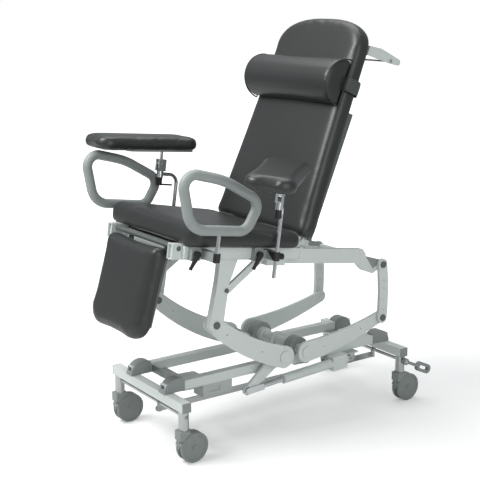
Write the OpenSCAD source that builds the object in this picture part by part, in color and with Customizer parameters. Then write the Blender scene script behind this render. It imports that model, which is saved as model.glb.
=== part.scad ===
// Phlebotomy chair: castor base, arm-and-link lift, tilting chassis and padded sections.
// +Z is up, -Y is the foot end, +X is the sitter's left. The origin is on the floor,
// in the middle of the base. The chair is drawn raised, with its seat tilted.

/* [Base] */
// Length of the base over its two cross members
base_len = 1046; // [940:1:1200]
// Length of each cross member
base_w = 484; // [460:1:560]
// Side of the square cross member tube
member = 34; // [30:1:40]
// Height of the underside of the cross members
member_z = 190; // [186:1:210]
// Distance between the centres of the two rails
rail_spread = 230; // [220:1:232]
// Width of a rail
rail_w = 32; // [28:1:34]
// Height of a rail
rail_h = 34; // [30:1:40]
// Wall of the box tubes
tube_wall = 3; // [2:0.5:4]
// Length of the half-moon caps on the rail ends
cap_len = 80; // [60:1:100]
// Height of the half-moon caps
cap_h = 50; // [42:1:60]

/* [Castors] */
// Diameter of a castor wheel
wheel_d = 110; // [100:1:118]
// Width of each of the two discs of a castor
disc_w = 14; // [10:1:16]
// Gap between the two discs
disc_gap = 12; // [10:1:14]
// Distance of the wheel axle behind the swivel axis
castor_trail = 34; // [28:1:40]
// Diameter of a castor socket
socket_d = 36; // [34:1:40]
// Diameter of a castor stem
stem_d = 16; // [12:1:18]

/* [Brake] */
// Height of the brake shafts
shaft_z = 172; // [168:1:176]
// Diameter of the brake shaft journals
journal_d = 14; // [10:1:16]
// Length of the brake cranks
crank_len = 26; // [20:1:30]
// Length of a foot pedal from the shaft to its tip
pedal_reach = 145; // [120:1:160]
// Width of a foot pedal
pedal_w = 38; // [34:1:44]

/* [Lift] */
// Height of the torsion tubes
pivot_z = 280; // [276:1:290]
// Distance between the two torsion tubes
pivot_spread = 104; // [100:1:120]
// Distance of the middle of the two tubes behind the middle of the base
pivot_y = 11; // [0:1:30]
// Diameter of the torsion tubes
torsion_d = 40; // [34:1:42]
// Distance of the lift arms from the middle plane, to their inner faces
arm_x = 174; // [172:1:178]
// Thickness of the lift arms
arm_t = 12; // [10:1:12]
// Forward reach of the front arms from their tube to the knee
front_reach = 320; // [300:1:330]
// Rise of the front arms from their tube to the knee
front_rise = 186; // [170:1:200]
// Backward reach of the rear arms from their tube to the knee
rear_reach = 364; // [350:1:375]
// Rise of the rear arms from their tube to the knee
rear_rise = 73; // [65:1:85]
// Width of the arms at the torsion tubes
hub_d = 84; // [76:1:90]
// Width of the front arms at the knee
front_knee_d = 60; // [50:1:64]
// Width of the rear arms at the knee
rear_knee_d = 46; // [40:1:50]
// Sag of the front arms below a straight line
front_sag = 20; // [10:1:26]
// Sag of the rear arms below a straight line
rear_sag = 12; // [6:1:18]
// Width of the rear links
link_w = 44; // [40:1:46]
// Diameter of the knee pins
pin_d = 16; // [12:1:18]

/* [Actuators] */
// Diameter of the actuator outer tubes
act_tube_d = 36; // [30:1:36]
// Diameter of the piston rods
piston_d = 20; // [16:1:22]
// Forward reach of the actuator levers from their tube
lever_reach = 145; // [136:1:150]
// Drop of the actuator levers below their tube
lever_drop = 108; // [100:1:112]
// Distance of the near actuator from the middle plane
act_x = 150; // [149:1:152]
// Length of an actuator motor case
motor_len = 70; // [60:1:76]

/* [Chassis] */
// Tilt of the chassis, foot end up, in degrees
tilt = 8; // [6:1:8]
// Distance of the front knee ahead of the backrest line
knee_fwd = 312; // [300:1:320]
// Height of the chassis underside above the front knee
leg_drop = 211.5; // [205:0.5:220]
// Distance of the rear link pivot behind the backrest line
rear_pivot_y = 449; // [440:1:456]
// Distance of the rear link pivot below the chassis underside
rear_pivot_drop = 3; // [0:1:6]
// Width of a chassis beam
beam_w = 30; // [26:1:32]
// Height of a chassis beam
beam_h = 54; // [48:1:56]
// Distance from the backrest line to the foot end of a chassis beam
beam_fwd = 150; // [140:1:160]
// Distance from the backrest line to the head end of a chassis beam
beam_back = 365; // [355:1:372]
// Width of the front legs
leg_w = 50; // [44:1:54]
// Thickness of the front legs
leg_t = 25; // [20:1:26]

/* [Seat] */
// Width of the seat cushion
seat_w = 574; // [560:1:580]
// Length of the seat cushion
seat_len = 468; // [455:1:475]
// Distance from the seat cushion to the backrest line
seat_back = 35; // [32:1:40]
// Thickness of the seat cushion at the foot end
seat_front_t = 72; // [66:1:78]
// Thickness of the seat cushion at the backrest
seat_rear_t = 48; // [44:1:54]
// Distance of the seat frame side members from the middle plane
side_x = 191; // [190:1:194]
// Width of a seat frame side member
side_w = 30; // [26:1:32]
// Height of a seat frame side member
side_h = 52; // [50:1:54]
// Height of the seat frame top above the chassis underside
seat_z = 73; // [70:1:75]
// Reach of the seat frame beyond the foot end of the seat cushion
frame_ahead = 27; // [24:1:30]
// Height of an accessory rail
acc_h = 38; // [34:1:40]
// Thickness of an accessory rail
acc_t = 10; // [8:1:12]
// Gap between the seat frame and an accessory rail
acc_gap = 6; // [6:1:8]

/* [Backrest] */
// Lean of the backrest from square to the chassis, in degrees
lean = 14.7; // [12:0.1:16]
// Distance of the backrest hinge behind the backrest line
hinge_y = 6; // [4:1:10]
// Height of the backrest hinge above the chassis underside
hinge_z = 76; // [74:1:78]
// Distance of the cushion face ahead of the backrest hinge
back_face = 51.7; // [50:0.1:54]
// Distance of the cushion foot above the backrest hinge
back_foot = 23.3; // [22:0.1:26]
// Length of the backrest cushion
back_len = 820; // [790:1:840]
// Width of the backrest cushion at its foot
back_w = 556; // [540:1:570]
// Width of the backrest cushion at its shoulders
back_top_w = 486; // [470:1:500]
// Height of the arched top of the backrest
arch_h = 120; // [100:1:140]
// Thickness of the backrest cushion
back_t = 63; // [58:1:64]
// Thickness of the boards behind the cushions
board_t = 10; // [8:1:12]

/* [Head bolster] */
// Length of the head bolster
bolster_len = 490; // [470:1:500]
// Height of the head bolster along the backrest
bolster_h = 170; // [150:1:180]
// Depth of the head bolster
bolster_d = 90; // [80:1:96]
// Height of the middle of the bolster above the cushion foot
bolster_up = 565; // [550:1:580]
// Width of the bolster strap
strap_w = 50; // [40:1:60]

/* [Paper holder] */
// Distance of the roll brackets in from the sides of the backrest's shoulders
bracket_in = 27; // [24:1:34]
// Depth of the roll brackets behind the board
bracket_d = 165; // [150:1:175]
// Diameter of the roll rod
rod_d = 10; // [8:1:12]

/* [Leg rest] */
// Lean of the leg rest from square to the chassis, in degrees
leg_lean = 8.6; // [6:0.1:10]
// Distance of the leg rest hinge ahead of the seat cushion
leg_hinge_ahead = 2; // [1:1:5]
// Height of the leg rest hinge above the chassis underside
leg_hinge_z = 58; // [56:1:60]
// Diameter of the leg rest hinge tube
leg_hinge_d = 18; // [16:1:20]
// Width of the leg rest cushion
leg_cushion_w = 346; // [330:1:356]
// Length of the leg rest cushion
leg_len = 326; // [310:1:340]
// Thickness of the leg rest cushion
leg_cushion_t = 60; // [54:1:62]
// Distance of the leg rest cushion below its hinge
leg_gap = 14; // [13:1:16]

/* [Arm hoops] */
// Distance of the arm hoops from the middle plane
hoop_x = 326; // [326:1:330]
// Diameter of the arm hoop tube
hoop_d = 35; // [30:1:36]
// Distance of the hoop posts behind the foot end of the seat cushion
hoop_post_in = 78; // [74:1:88]
// Length of an arm hoop along its centre line's corners
hoop_len = 325; // [310:1:335]
// Height of an arm hoop between its lowest and highest corners
hoop_rise = 185.5; // [175:0.5:195]
// Diameter of the hoop and pad posts
post_d = 14; // [12:1:16]
// Height of the bottom of the hoop on the sitter's left above the chassis underside
hoop_z = 120; // [118:1:124]
// How much lower the hoop on the sitter's right stands
hoop_step = 12; // [10:1:14]

/* [Arm pads] */
// Length of an arm pad
pad_len = 420; // [400:1:430]
// Width of an arm pad
pad_w = 168; // [155:1:174]
// Thickness of an arm pad
pad_t = 46; // [40:1:50]
// Distance of the left pad post ahead of the backrest line
pad_fwd_left = 154; // [145:1:162]
// Distance of the right pad post ahead of the backrest line
pad_fwd_right = 212; // [200:1:216]
// Length of the bent arm from its post to the swivel
pad_arm = 76; // [64:1:84]
// Distance of the middle of a pad ahead of its swivel
pad_offset = 88; // [76:1:94]
// Turn of the left pad away from the seat, in degrees
turn_left = 44; // [40:1:50]
// Height of the left swivel above the chassis underside
swivel_z_left = 216; // [212:1:222]
// Height of the right swivel above the chassis underside
swivel_z_right = 237; // [234:1:245]

/* [Hidden] */

// Running clearance on the radius of every turning pin
run = 0.05;
// Clearance between pieces that move past each other
clear = 0.3;
// Overrun of every cut
over = 1;
// Radius that breaks an edge
edge_r = 3;
// Fineness of round shapes
$fn = 48;
// Fineness of a curved arm's outline
arm_steps = 14;
// Points in each rounded corner of a cushion
corner_steps = 5;

// Paint and plastic colours
paint = "#c3cbc7";
grey = "#8d9492";
dark_grey = "#5d6361";
black = "#1b1c1c";
chrome_tone = "#d8dcdc";
vinyl = "#3f4241";
wood = "#c9a878";

base_half = base_len / 2;
member_y = base_half - member / 2;
rail_z = member_z + member;
rail_top = rail_z + rail_h;
rail_x = rail_spread / 2;
rail_out = rail_x + rail_w / 2;
castor_x = base_w / 2 - socket_d / 2 - 2 * clear;
wheel_r = wheel_d / 2;
front_pivot_y = pivot_y - pivot_spread / 2;
rear_pivot_base_y = pivot_y + pivot_spread / 2;
front_knee_y = front_pivot_y - front_reach;
front_knee_z = pivot_z + front_rise;
rear_knee_y = rear_pivot_base_y + rear_reach;
rear_knee_z = pivot_z + rear_rise;
// Side gap between an arm and the link or leg outside it
side_gap = 2;
leg_x = arm_x + arm_t + side_gap;
// Thickness of a rear link
link_t = 12;
// Thickness of the pin heads
head_t = 4;
// How much wider a pin head is than its pin
head_over = 10;
chassis_y = front_knee_y + knee_fwd * cos(tilt) + leg_drop * sin(tilt);
chassis_z = front_knee_z - knee_fwd * sin(tilt) + leg_drop * cos(tilt);
rear_top_y = chassis_y + rear_pivot_y * cos(tilt) - rear_pivot_drop * sin(tilt);
rear_top_z = chassis_z - rear_pivot_y * sin(tilt) - rear_pivot_drop * cos(tilt);
link_len = norm([rear_top_y - rear_knee_y, rear_top_z - rear_knee_z]);
link_turn = atan2(rear_top_z - rear_knee_z, rear_top_y - rear_knee_y);
beam_x = arm_x + arm_t - beam_w;
side_z = seat_z - side_h;
seat_fwd = seat_back + seat_len;
side_fwd = seat_fwd + frame_ahead;
leg_hinge_fwd = seat_fwd + leg_hinge_ahead;
hoop_post_fwd = seat_fwd - hoop_post_in;
bracket_x = back_top_w / 2 - bracket_in;
side_out = side_x + side_w;
acc_x = side_out + acc_gap;
acc_out = acc_x + acc_t;
acc_z = side_z + (side_h - acc_h) / 2;
seat_mid = -(seat_back + seat_len / 2);
// The pad posts stand close beside the seat cushion
post_gap = 1;
pad_post_x = (seat_w + post_d) / 2 + post_gap;

// Draws a flat shape of the side view as a plate across the chair
module side_plate(x, t) {
  translate([x, 0, 0])
    rotate([90, 0, 90])
      linear_extrude(t)
        children();
}

// A round bar across the chair
module cross_bar(x, y, z, d, w) {
  translate([x, y, z])
    rotate([0, 90, 0])
      cylinder(d = d, h = w);
}

// The same piece on both sides
module both_sides() {
  children();
  mirror([1, 0, 0])
    children();
}

// The piece of one side: 1 is the sitter's left and -1 the right
module on_side(side) {
  if (side > 0)
    children();
  else
    mirror([1, 0, 0])
      children();
}

// The tilted frame of the chassis, with its zero at the backrest line
module on_chassis() {
  translate([0, chassis_y, chassis_z])
    rotate([-tilt, 0, 0])
      children();
}

// The frame of the backrest, with its zero on the hinge
module on_backrest() {
  on_chassis()
    translate([0, hinge_y, hinge_z])
      rotate([-lean, 0, 0])
        children();
}

// The frame of the leg rest, with its zero on the hinge
module on_legrest() {
  on_chassis()
    translate([0, -leg_hinge_fwd, leg_hinge_z])
      rotate([-leg_lean, 0, 0])
        children();
}

// A box tube along Y
module box_tube(x, y, z, w, l, h) {
  difference() {
    translate([x, y, z])
      cube([w, l, h]);
    translate([x + tube_wall, y - over, z + tube_wall])
      cube([w - 2 * tube_wall, l + 2 * over, h - 2 * tube_wall]);
  }
}

// Outline of a bowed arm from its hub at the origin to its knee on the X axis
function arm_outline(l, sag, w0, w1) = concat(
  [for (i = [0:arm_steps]) let (t = i / arm_steps)
    [l * t, sag * 4 * t * (1 - t) + (w0 + (w1 - w0) * t) / 2]],
  [for (i = [arm_steps:-1:0]) let (t = i / arm_steps)
    [l * t, sag * 4 * t * (1 - t) - (w0 + (w1 - w0) * t) / 2]]);

// A bowed arm plate with a hub, a knee bore and three small holes
module bowed_arm(x, t, l, sag, w0, w1, bore0, bore1, hole_shares, hole_d) {
  translate([x, 0, 0])
    rotate([90, 0, 90])
      difference() {
        union() {
          linear_extrude(t)
            polygon(arm_outline(l, sag, w0, w1));
          cylinder(d = w0, h = t);
          translate([l, 0, 0])
            cylinder(d = w1, h = t);
        }
        if (bore0 > 0)
          translate([0, 0, -over])
            cylinder(d = bore0, h = t + 2 * over);
        if (bore1 > 0)
          translate([l, 0, -over])
            cylinder(d = bore1, h = t + 2 * over);
        for (share = hole_shares)
          translate([l * share, sag * 4 * share * (1 - share), -over])
            cylinder(d = hole_d, h = t + 2 * over);
      }
}

// Corner of a rounded outline
function corner(x, y, r, a) = [for (i = [0:corner_steps])
  [x + r * cos(a + 90 * i / corner_steps), y + r * sin(a + 90 * i / corner_steps)]];

// Points of one side between two corners, drawn in by a small bow
function drawn_side(p, q, bow) = let (d = q - p, n = [-d[1], d[0]] / norm(d))
  [for (i = [1:3]) p + d * i / 4 + n * bow * sin(180 * i / 4)];

// A rounded rectangle whose sides draw in: r0 at the -Y end and r1 at the +Y end
function cushion_outline(w, l, r0, r1, bow) = let (
  a = corner(w / 2 - r1, l / 2 - r1, r1, 0),
  b = corner(-w / 2 + r1, l / 2 - r1, r1, 90),
  c = corner(-w / 2 + r0, -l / 2 + r0, r0, 180),
  d = corner(w / 2 - r0, -l / 2 + r0, r0, 270))
  concat(a, drawn_side(a[corner_steps], b[0], bow), b,
    drawn_side(b[corner_steps], c[0], bow), c,
    drawn_side(c[corner_steps], d[0], bow), d,
    drawn_side(d[corner_steps], a[0], bow));

// One level of a cushion
function cushion_ring(outline, s, z, slope) =
  [for (p = outline) [p[0] * s, p[1] * s, z * (1 + slope * p[1] * s)]];

// A padded form: levels hold the share of the outline and the height of each ring
module padded_form(outline, levels, slope = 0) {
  n = len(outline);
  m = len(levels);
  points = concat([for (lv = levels) each cushion_ring(outline, lv[0], lv[1], slope)],
    [[0, 0, levels[0][1]], [0, 0, levels[m - 1][1]]]);
  sides = [for (i = [0:m - 2]) for (j = [0:n - 1]) let (k = (j + 1) % n)
    each [[i * n + j, (i + 1) * n + j, (i + 1) * n + k], [i * n + j, (i + 1) * n + k, i * n + k]]];
  foot = [for (j = [0:n - 1]) [m * n, j, (j + 1) % n]];
  crown = [for (j = [0:n - 1]) [m * n + 1, (m - 1) * n + (j + 1) % n, (m - 1) * n + j]];
  polyhedron(points, concat(sides, foot, crown));
}

// Shares of the outline and of the thickness at each level of a cushion, with a crowned face
cushion_shares = [[0.93, 0], [0.975, 0.05], [0.995, 0.2], [1, 0.45], [0.993, 0.68],
  [0.975, 0.84], [0.945, 0.94], [0.88, 0.99], [0.7, 1.02], [0.4, 1.045], [0.15, 1.05]];
function cushion_levels(t) = [for (p = cushion_shares) [p[0], p[1] * t]];
// Draw of the long cushion sides between their corners
side_draw = 3;
// Rise of a cushion's crown, as a share of its thickness
crown_share = 1.05;

// A torus bend in the XY plane: starts at the origin heading +X and turns left
module bend(r, d, a) {
  translate([0, r, 0])
    rotate([0, 0, -90])
      rotate_extrude(angle = a)
        translate([r, 0])
          circle(d = d);
}

function unit(v) = v / norm(v);
function turn_of(p, q, r) = let (u = unit(q - p), v = unit(r - q))
  atan2(u[0] * v[1] - u[1] * v[0], u * v);

// How far the straight runs of a bent tube reach into its bends
lap = 0.5;

// A closed tube through flat points that all turn left, with a bend radius for each
module closed_tube(points, radii, d) {
  n = len(points);
  cuts = [for (i = [0:n - 1])
    radii[i] * tan(turn_of(points[(i + n - 1) % n], points[i], points[(i + 1) % n]) / 2)];
  for (i = [0:n - 1]) {
    j = (i + 1) % n;
    before = unit(points[i] - points[(i + n - 1) % n]);
    after = unit(points[j] - points[i]);
    start = points[i] + after * (cuts[i] - lap);
    translate([start[0], start[1], 0])
      rotate([0, 90, atan2(after[1], after[0])])
        cylinder(d = d - 2 * run, h = norm(points[j] - points[i]) - cuts[i] - cuts[j] + 2 * lap);
    enter = points[i] - before * cuts[i];
    translate([enter[0], enter[1], 0])
      rotate([0, 0, atan2(before[1], before[0])])
        bend(radii[i], d, turn_of(points[(i + n - 1) % n], points[i], points[j]));
  }
}

// Base

module base_rails() {
  color(paint)
    both_sides()
      box_tube(rail_x - rail_w / 2, -base_half, rail_z, rail_w, base_len, rail_h);
}

module base_cross_members() {
  color(paint)
    for (s = [-1, 1])
      translate([0, s * member_y, member_z + member / 2])
        difference() {
          cube([base_w, member, member], center = true);
          cube([base_w + 2 * over, member - 2 * tube_wall, member - 2 * tube_wall],
            center = true);
        }
}

// Thickness of the flat end plugs
plug_t = 4;

// Radius of a cap's round, as a share of its length
moon_share = 0.65;

module half_moon() {
  cap_w = rail_w + 2 * tube_wall;
  moon_r = cap_len * moon_share;
  translate([rail_x - cap_w / 2, 0, 0])
    rotate([90, 0, 90])
      linear_extrude(cap_w)
        intersection() {
          translate([base_half - cap_len, rail_z])
            square([cap_len + plug_t, cap_h]);
          translate([base_half + plug_t - moon_r, rail_z + cap_h - moon_r])
            circle(r = moon_r);
        }
}

module base_end_caps() {
  color(grey)
    both_sides() {
      for (s = [0, 1])
        mirror([0, s, 0])
          difference() {
            half_moon();
            translate([rail_x - rail_w / 2, 0, rail_z - over])
              cube([rail_w, base_half, rail_h + over]);
          }
      for (s = [-1, 1])
        translate([base_w / 2, s * member_y - member / 2, member_z])
          cube([plug_t, member, member]);
    }
}

module castor_sockets() {
  socket_h = member_z - swivel_z;
  color(chrome_tone)
    both_sides()
      for (s = [-1, 1])
        translate([castor_x, s * member_y, swivel_z])
          difference() {
            cylinder(d = socket_d, h = socket_h);
            translate([0, 0, -over])
              cylinder(d = stem_d + 2 * run, h = stem_h + over + clear);
            translate([-socket_d, 0, shaft_z - swivel_z])
              rotate([0, 90, 0])
                cylinder(d = journal_d + 2 * run, h = 2 * socket_d);
          }
}

// Length of the bearing blocks beyond each torsion tube
block_over = 44;
// Radius of the front bearing housings
front_block_r = 30;
// Width of the bearing blocks
block_w = 38;

module bearing_blocks() {
  color(dark_grey)
    both_sides()
      difference() {
        translate([rail_x - block_w / 2, 0, 0])
          rotate([90, 0, 90])
            union() {
              linear_extrude(block_w)
                polygon([[front_pivot_y - block_over, rail_top],
                  [rear_pivot_base_y + block_over, rail_top],
                  [rear_pivot_base_y + block_over, pivot_z],
                  [front_pivot_y - front_block_r, pivot_z]]);
              translate([front_pivot_y, pivot_z])
                cylinder(r = front_block_r, h = block_w);
              translate([rear_pivot_base_y, pivot_z])
                cylinder(r = block_over, h = block_w);
            }
        for (y = [front_pivot_y, rear_pivot_base_y])
          cross_bar(rail_x - block_w / 2 - over, y, pivot_z, torsion_d + 2 * run,
            block_w + 2 * over);
        translate([rail_x - rail_w / 2 - block_w, front_pivot_y - 2 * block_over,
          rail_z - over])
          cube([3 * block_w, pivot_spread + 4 * block_over, rail_h + over]);
      }
}

// Distances of the actuators' fixed pins from the ends of the base and above its members
near_anchor_in = 214;
middle_anchor_in = 113;
anchor_up = 10;
near_anchor_y = base_half - near_anchor_in;
middle_anchor_y = -base_half + middle_anchor_in;
anchor_z = member_z + anchor_up;
// Diameter of the actuator pins
act_pin_d = 12;
// Thickness of the bracket plates
plate_t = 5;
// Width of an actuator eye
eye_w = 14;
// Length of a clevis from its pin to its plate
clevis_l = 30;
// Bolt head size and height
bolt_d = 12;
bolt_h = 5;
// Share of a block's overhang at which its outer bolts sit
bolt_share = 0.6;

module clevis_ears(x, y, z, up) {
  for (s = [-1, 1])
    side_plate(x + s * (eye_w / 2 + clear + plate_t / 2) - plate_t / 2, plate_t)
      difference() {
        union() {
          translate([y, z])
            circle(d = 2 * act_pin_d);
          translate([y - act_pin_d, z])
            square([2 * act_pin_d, up - z]);
        }
        translate([y, z])
          circle(d = act_pin_d);
      }
  cross_bar(x - eye_w / 2 - clear - 2 * plate_t, y, z, act_pin_d,
    eye_w + 2 * clear + 4 * plate_t);
}

module base_brackets() {
  color(grey) {
    // Near actuator anchor under a side plate on the rail
    clevis_ears(act_x, near_anchor_y, anchor_z, rail_z);
    translate([rail_x - rail_w / 2, near_anchor_y - clevis_l, rail_z - plate_t])
      cube([act_x + eye_w / 2 + clear + plate_t - rail_x + rail_w / 2, 2 * clevis_l,
        plate_t]);
    // Middle actuator anchor under the front cross plate
    clevis_ears(0, middle_anchor_y, anchor_z, rail_z);
    translate([-rail_out + rail_w, middle_anchor_y - clevis_l, rail_z])
      cube([2 * (rail_out - rail_w), 2 * clevis_l, plate_t]);
    translate([-rail_out + rail_w, middle_anchor_y - clevis_l, rail_z + plate_t])
      cube([2 * (rail_out - rail_w), plate_t, rail_h - 2 * plate_t]);
    // Rear cross plate between the rails
    translate([-rail_out + rail_w, base_half - cap_len - clear - 2 * clevis_l, rail_z])
      cube([2 * (rail_out - rail_w), 2 * clevis_l, plate_t]);
    // Bolts on the outer faces of the bearing blocks
    both_sides()
      for (y = [front_pivot_y - block_over * bolt_share, pivot_y,
          rear_pivot_base_y + block_over * bolt_share])
        cross_bar(rail_x + block_w / 2, y, rail_top + bolt_d, bolt_d, bolt_h);
  }
}

// Size of the control box
box_w = 62;
box_l = 125;
box_h = 48;

module control_box() {
  color(grey)
    translate([rail_out - box_w - edge_r, -base_half + 2 * cap_len, rail_z - box_h])
      difference() {
        cube([box_w, box_l, box_h]);
        translate([box_w - edge_r, box_l / 4, box_h / 3])
          cube([2 * edge_r, box_l / 3, box_h / 3]);
      }
}

// Castors

// Height of the swivel face between a castor and its socket, and its gap over the wheel
swivel_gap = 13;
swivel_z = wheel_d + swivel_gap;
// Length of the castor stem in its socket
stem_h = 28;
// Height of the swivel head
swivel_h = 11;
// Diameter of the swivel head, and the reach and height of its block
swivel_d = 44;
head_ahead = 25;
block_h = 34;
// Width of the web between the discs, and its play beside each
web_play = 1;
web_w = disc_gap - 2 * web_play;
// Depth of the tread
tread = 9;
// Axle diameter
axle_d = 10;

module castor_fork(x, y) {
  color(grey)
    translate([x, y, 0]) {
      translate([0, 0, swivel_z - clear])
        cylinder(d = stem_d, h = stem_h);
      difference() {
        union() {
          translate([0, 0, swivel_z - clear - swivel_h])
            cylinder(d = swivel_d, h = swivel_h);
          // Head block in front of the wheel
          translate([-hood_w / 2, -head_ahead, swivel_z - clear - block_h])
            cube([hood_w, swivel_d - edge_r, block_h]);
          side_plate(-web_w / 2, web_w)
            union() {
              translate([castor_trail, wheel_r])
                circle(r = wheel_r - tread);
              translate([-swivel_d / 2, wheel_r])
                square([castor_trail, swivel_z - clear - swivel_h - wheel_r]);
            }
          // Hood over the two discs
          intersection() {
            cross_bar(-hood_w / 2, castor_trail, wheel_r, 2 * (hood_r + hood_t),
              hood_w);
            translate([-hood_w, castor_trail - hood_r - 2 * hood_t, hood_cut])
              cube([2 * hood_w, hood_r + 2 * hood_t, hood_r * 2]);
            translate([-hood_w, -wheel_d, 0])
              cube([2 * hood_w, 2 * wheel_d, swivel_z - clear - swivel_h]);
          }
        }
        difference() {
          cross_bar(-hood_w, castor_trail, wheel_r, 2 * hood_r, 2 * hood_w);
          translate([-web_w / 2, -wheel_d, 0])
            cube([web_w, 2 * wheel_d, swivel_z]);
        }
        cross_bar(-hood_w, castor_trail, wheel_r, axle_d + 2 * run, 2 * hood_w);
      }
    }
}

// Gap over the wheel, thickness, inset from its sides and lower edge of the hood
hood_gap = 1;
hood_t = 3;
hood_in = 2;
hood_up = 14;
hood_r = wheel_r + hood_gap;
hood_w = 2 * (disc_w - hood_in) + disc_gap;
hood_cut = wheel_r + hood_up;

module castor_wheel(x, y) {
  color(dark_grey)
    translate([x, y + castor_trail, wheel_r])
      rotate([0, 90, 0]) {
        for (s = [0, 1])
          mirror([0, 0, s])
            translate([0, 0, disc_gap / 2])
              rotate_extrude($fn = 64)
                polygon([[0, 0], [wheel_r - edge_r, 0], [wheel_r, edge_r],
                  [wheel_r, disc_w - edge_r], [wheel_r - edge_r, disc_w],
                  [wheel_r - tread, disc_w],
                  [wheel_r - tread - edge_r, disc_w - edge_r],
                  [axle_d, disc_w - edge_r], [axle_d, disc_w], [0, disc_w]]);
        translate([0, 0, -disc_gap / 2])
          cylinder(d = axle_d, h = disc_gap);
      }
}

// Brake

// Distance of the brake cranks from the middle plane and their thickness
crank_x = 64;
crank_t = 6;
// Height of the link bar
bar_h = 22;
// Crank pin diameter
crank_pin_d = 8;
// Across-flats size of the hexagon shafts
hex_af = 12;
// Play of the link bar around the crank pins, where the linkage is open
pin_play = 2.3;
// Outer face and thickness of the link bar
bar_x = crank_x - crank_t;
bar_t = 6;
// Diameter and thickness of the crank pin heads
shoulder_d = 18;
head_w = 2;

module brake_shaft(y, reach) {
  stop = castor_x - socket_d / 2;
  rotate([0, 90, 0])
    translate([-shaft_z, y, -stop + over])
      cylinder(d = hex_af / cos(30), h = 2 * (stop - over), $fn = 6);
  for (s = [0, 1])
    mirror([s, 0, 0])
      cross_bar(stop - over, y, shaft_z, journal_d, reach - stop + over);
  side_plate(crank_x, crank_t)
    union() {
      translate([y, shaft_z])
        circle(d = 2 * hex_af);
      translate([y - hex_af / 2, shaft_z - crank_len])
        square([hex_af, crank_len]);
      translate([y, shaft_z - crank_len])
        circle(d = hex_af + edge_r);
    }
  cross_bar(bar_x - bar_t - 2 * clear, y, shaft_z - crank_len, crank_pin_d,
    crank_x - bar_x + bar_t + 2 * clear);
  // Shoulder and head that hold the link bar on its pin
  cross_bar(bar_x + clear, y, shaft_z - crank_len, shoulder_d, crank_x - bar_x - clear);
  cross_bar(bar_x - bar_t - clear - head_w, y, shaft_z - crank_len, shoulder_d, head_w);
}

module brake_shaft_front() {
  color(chrome_tone)
    brake_shaft(-member_y, castor_x + socket_d / 4);
}

module brake_shaft_rear() {
  color(chrome_tone)
    brake_shaft(member_y, pedal_x + pedal_hub_w);
}

// Where a pedal sits on the shaft, and the size of its hub
pedal_x = castor_x + disc_gap / 2 + disc_w + side_gap;
pedal_hub_w = 16;
pedal_hub_d = 26;
pedal_t = 12;
// Length of the pedal pad
pedal_pad = 78;
// Drop of the pedal tip below the shaft
pedal_drop = 60;

// A flat bar with round ends, centred on the X axis from a start
module round_bar(start, l, w) {
  translate([start + w / 2, -w / 2])
    square([l - w, w]);
  for (x = [start + w / 2, start + l - w / 2])
    translate([x, 0])
      circle(d = w);
}

module brake_pedals() {
  color(grey)
    both_sides()
      side_plate(pedal_x, pedal_hub_w)
        translate([member_y, shaft_z])
          rotate(-asin(pedal_drop / pedal_reach))
            difference() {
              union() {
                circle(d = pedal_hub_d);
                translate([0, -pedal_t / 2])
                  square([pedal_reach - pedal_pad / 2, pedal_t]);
                round_bar(pedal_reach - pedal_pad, pedal_pad, pedal_w);
              }
              circle(d = journal_d);
              round_bar(pedal_reach - pedal_pad + pedal_w / 3, pedal_pad - pedal_w * 2 / 3,
                pedal_w / 3);
            }
}

module brake_link_bar() {
  color(grey)
    side_plate(bar_x - bar_t, bar_t)
      difference() {
        union() {
          translate([-member_y, shaft_z - crank_len - bar_h / 2])
            square([2 * member_y, bar_h]);
          for (s = [-1, 1])
            translate([s * member_y, shaft_z - crank_len])
              circle(d = bar_h);
        }
        for (s = [-1, 1])
          translate([s * member_y, shaft_z - crank_len])
            circle(d = crank_pin_d + 2 * pin_play);
      }
}

// Lift

// Thickness of an actuator lever and diameter of its hub
lever_t = 12;
lever_hub_d = 64;
// Size of the lever end
lever_end_d = 34;
// Collars beside the bearing blocks
collar_over = 14;
collar_d = torsion_d + collar_over;
collar_w = 26;
// Wall of the torsion tubes
torsion_wall = 5;
// Half widths of a lever at its root and end, as shares of its hub's and end's diameters
lever_root = 5 / 12;
lever_tip = 0.46;
// Play of the lever eye around the actuator pin, where the linkage is open
eye_play = 8;

module torsion_tube(y, lever_x, way) {
  difference() {
    union() {
      cross_bar(-arm_x, y, pivot_z, torsion_d, 2 * arm_x);
      both_sides()
        cross_bar(rail_x - block_w / 2 - clear - collar_w, y, pivot_z, collar_d,
          collar_w);
      side_plate(lever_x - lever_t / 2, lever_t)
        union() {
          translate([y, pivot_z])
            circle(d = lever_hub_d);
          translate([y, pivot_z])
            rotate(atan2(-lever_drop, way * lever_reach))
              polygon([[0, -lever_hub_d * lever_root], [0, lever_hub_d * lever_root],
                [norm([lever_reach, lever_drop]), lever_end_d * lever_tip],
                [norm([lever_reach, lever_drop]), -lever_end_d * lever_tip]]);
          translate([y + way * lever_reach, pivot_z - lever_drop])
            circle(d = lever_end_d);
        }
    }
    cross_bar(-arm_x - over, y, pivot_z, torsion_d - 2 * torsion_wall,
      2 * arm_x + 2 * over);
    cross_bar(lever_x - lever_t, y + way * lever_reach, pivot_z - lever_drop,
      act_pin_d + 2 * eye_play, 2 * lever_t);
  }
}

// Small holes in the arms, along their length
front_hole_shares = [0.3, 0.78];
rear_hole_shares = [0.22, 0.72];
link_hole_shares = [0.15, 0.34, 0.55, 0.7];
small_hole_d = 5;
// How much smaller the rear arms' hubs are
rear_hub_less = 4;
// Length of a spigot over the thickness of its arm
spigot_share = 1.5;
// Diameter and height of the hub covers
cover_d = 46;
cover_t = 5;

module front_torsion_tube() {
  color(paint)
    torsion_tube(front_pivot_y, act_x, -1);
}

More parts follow.
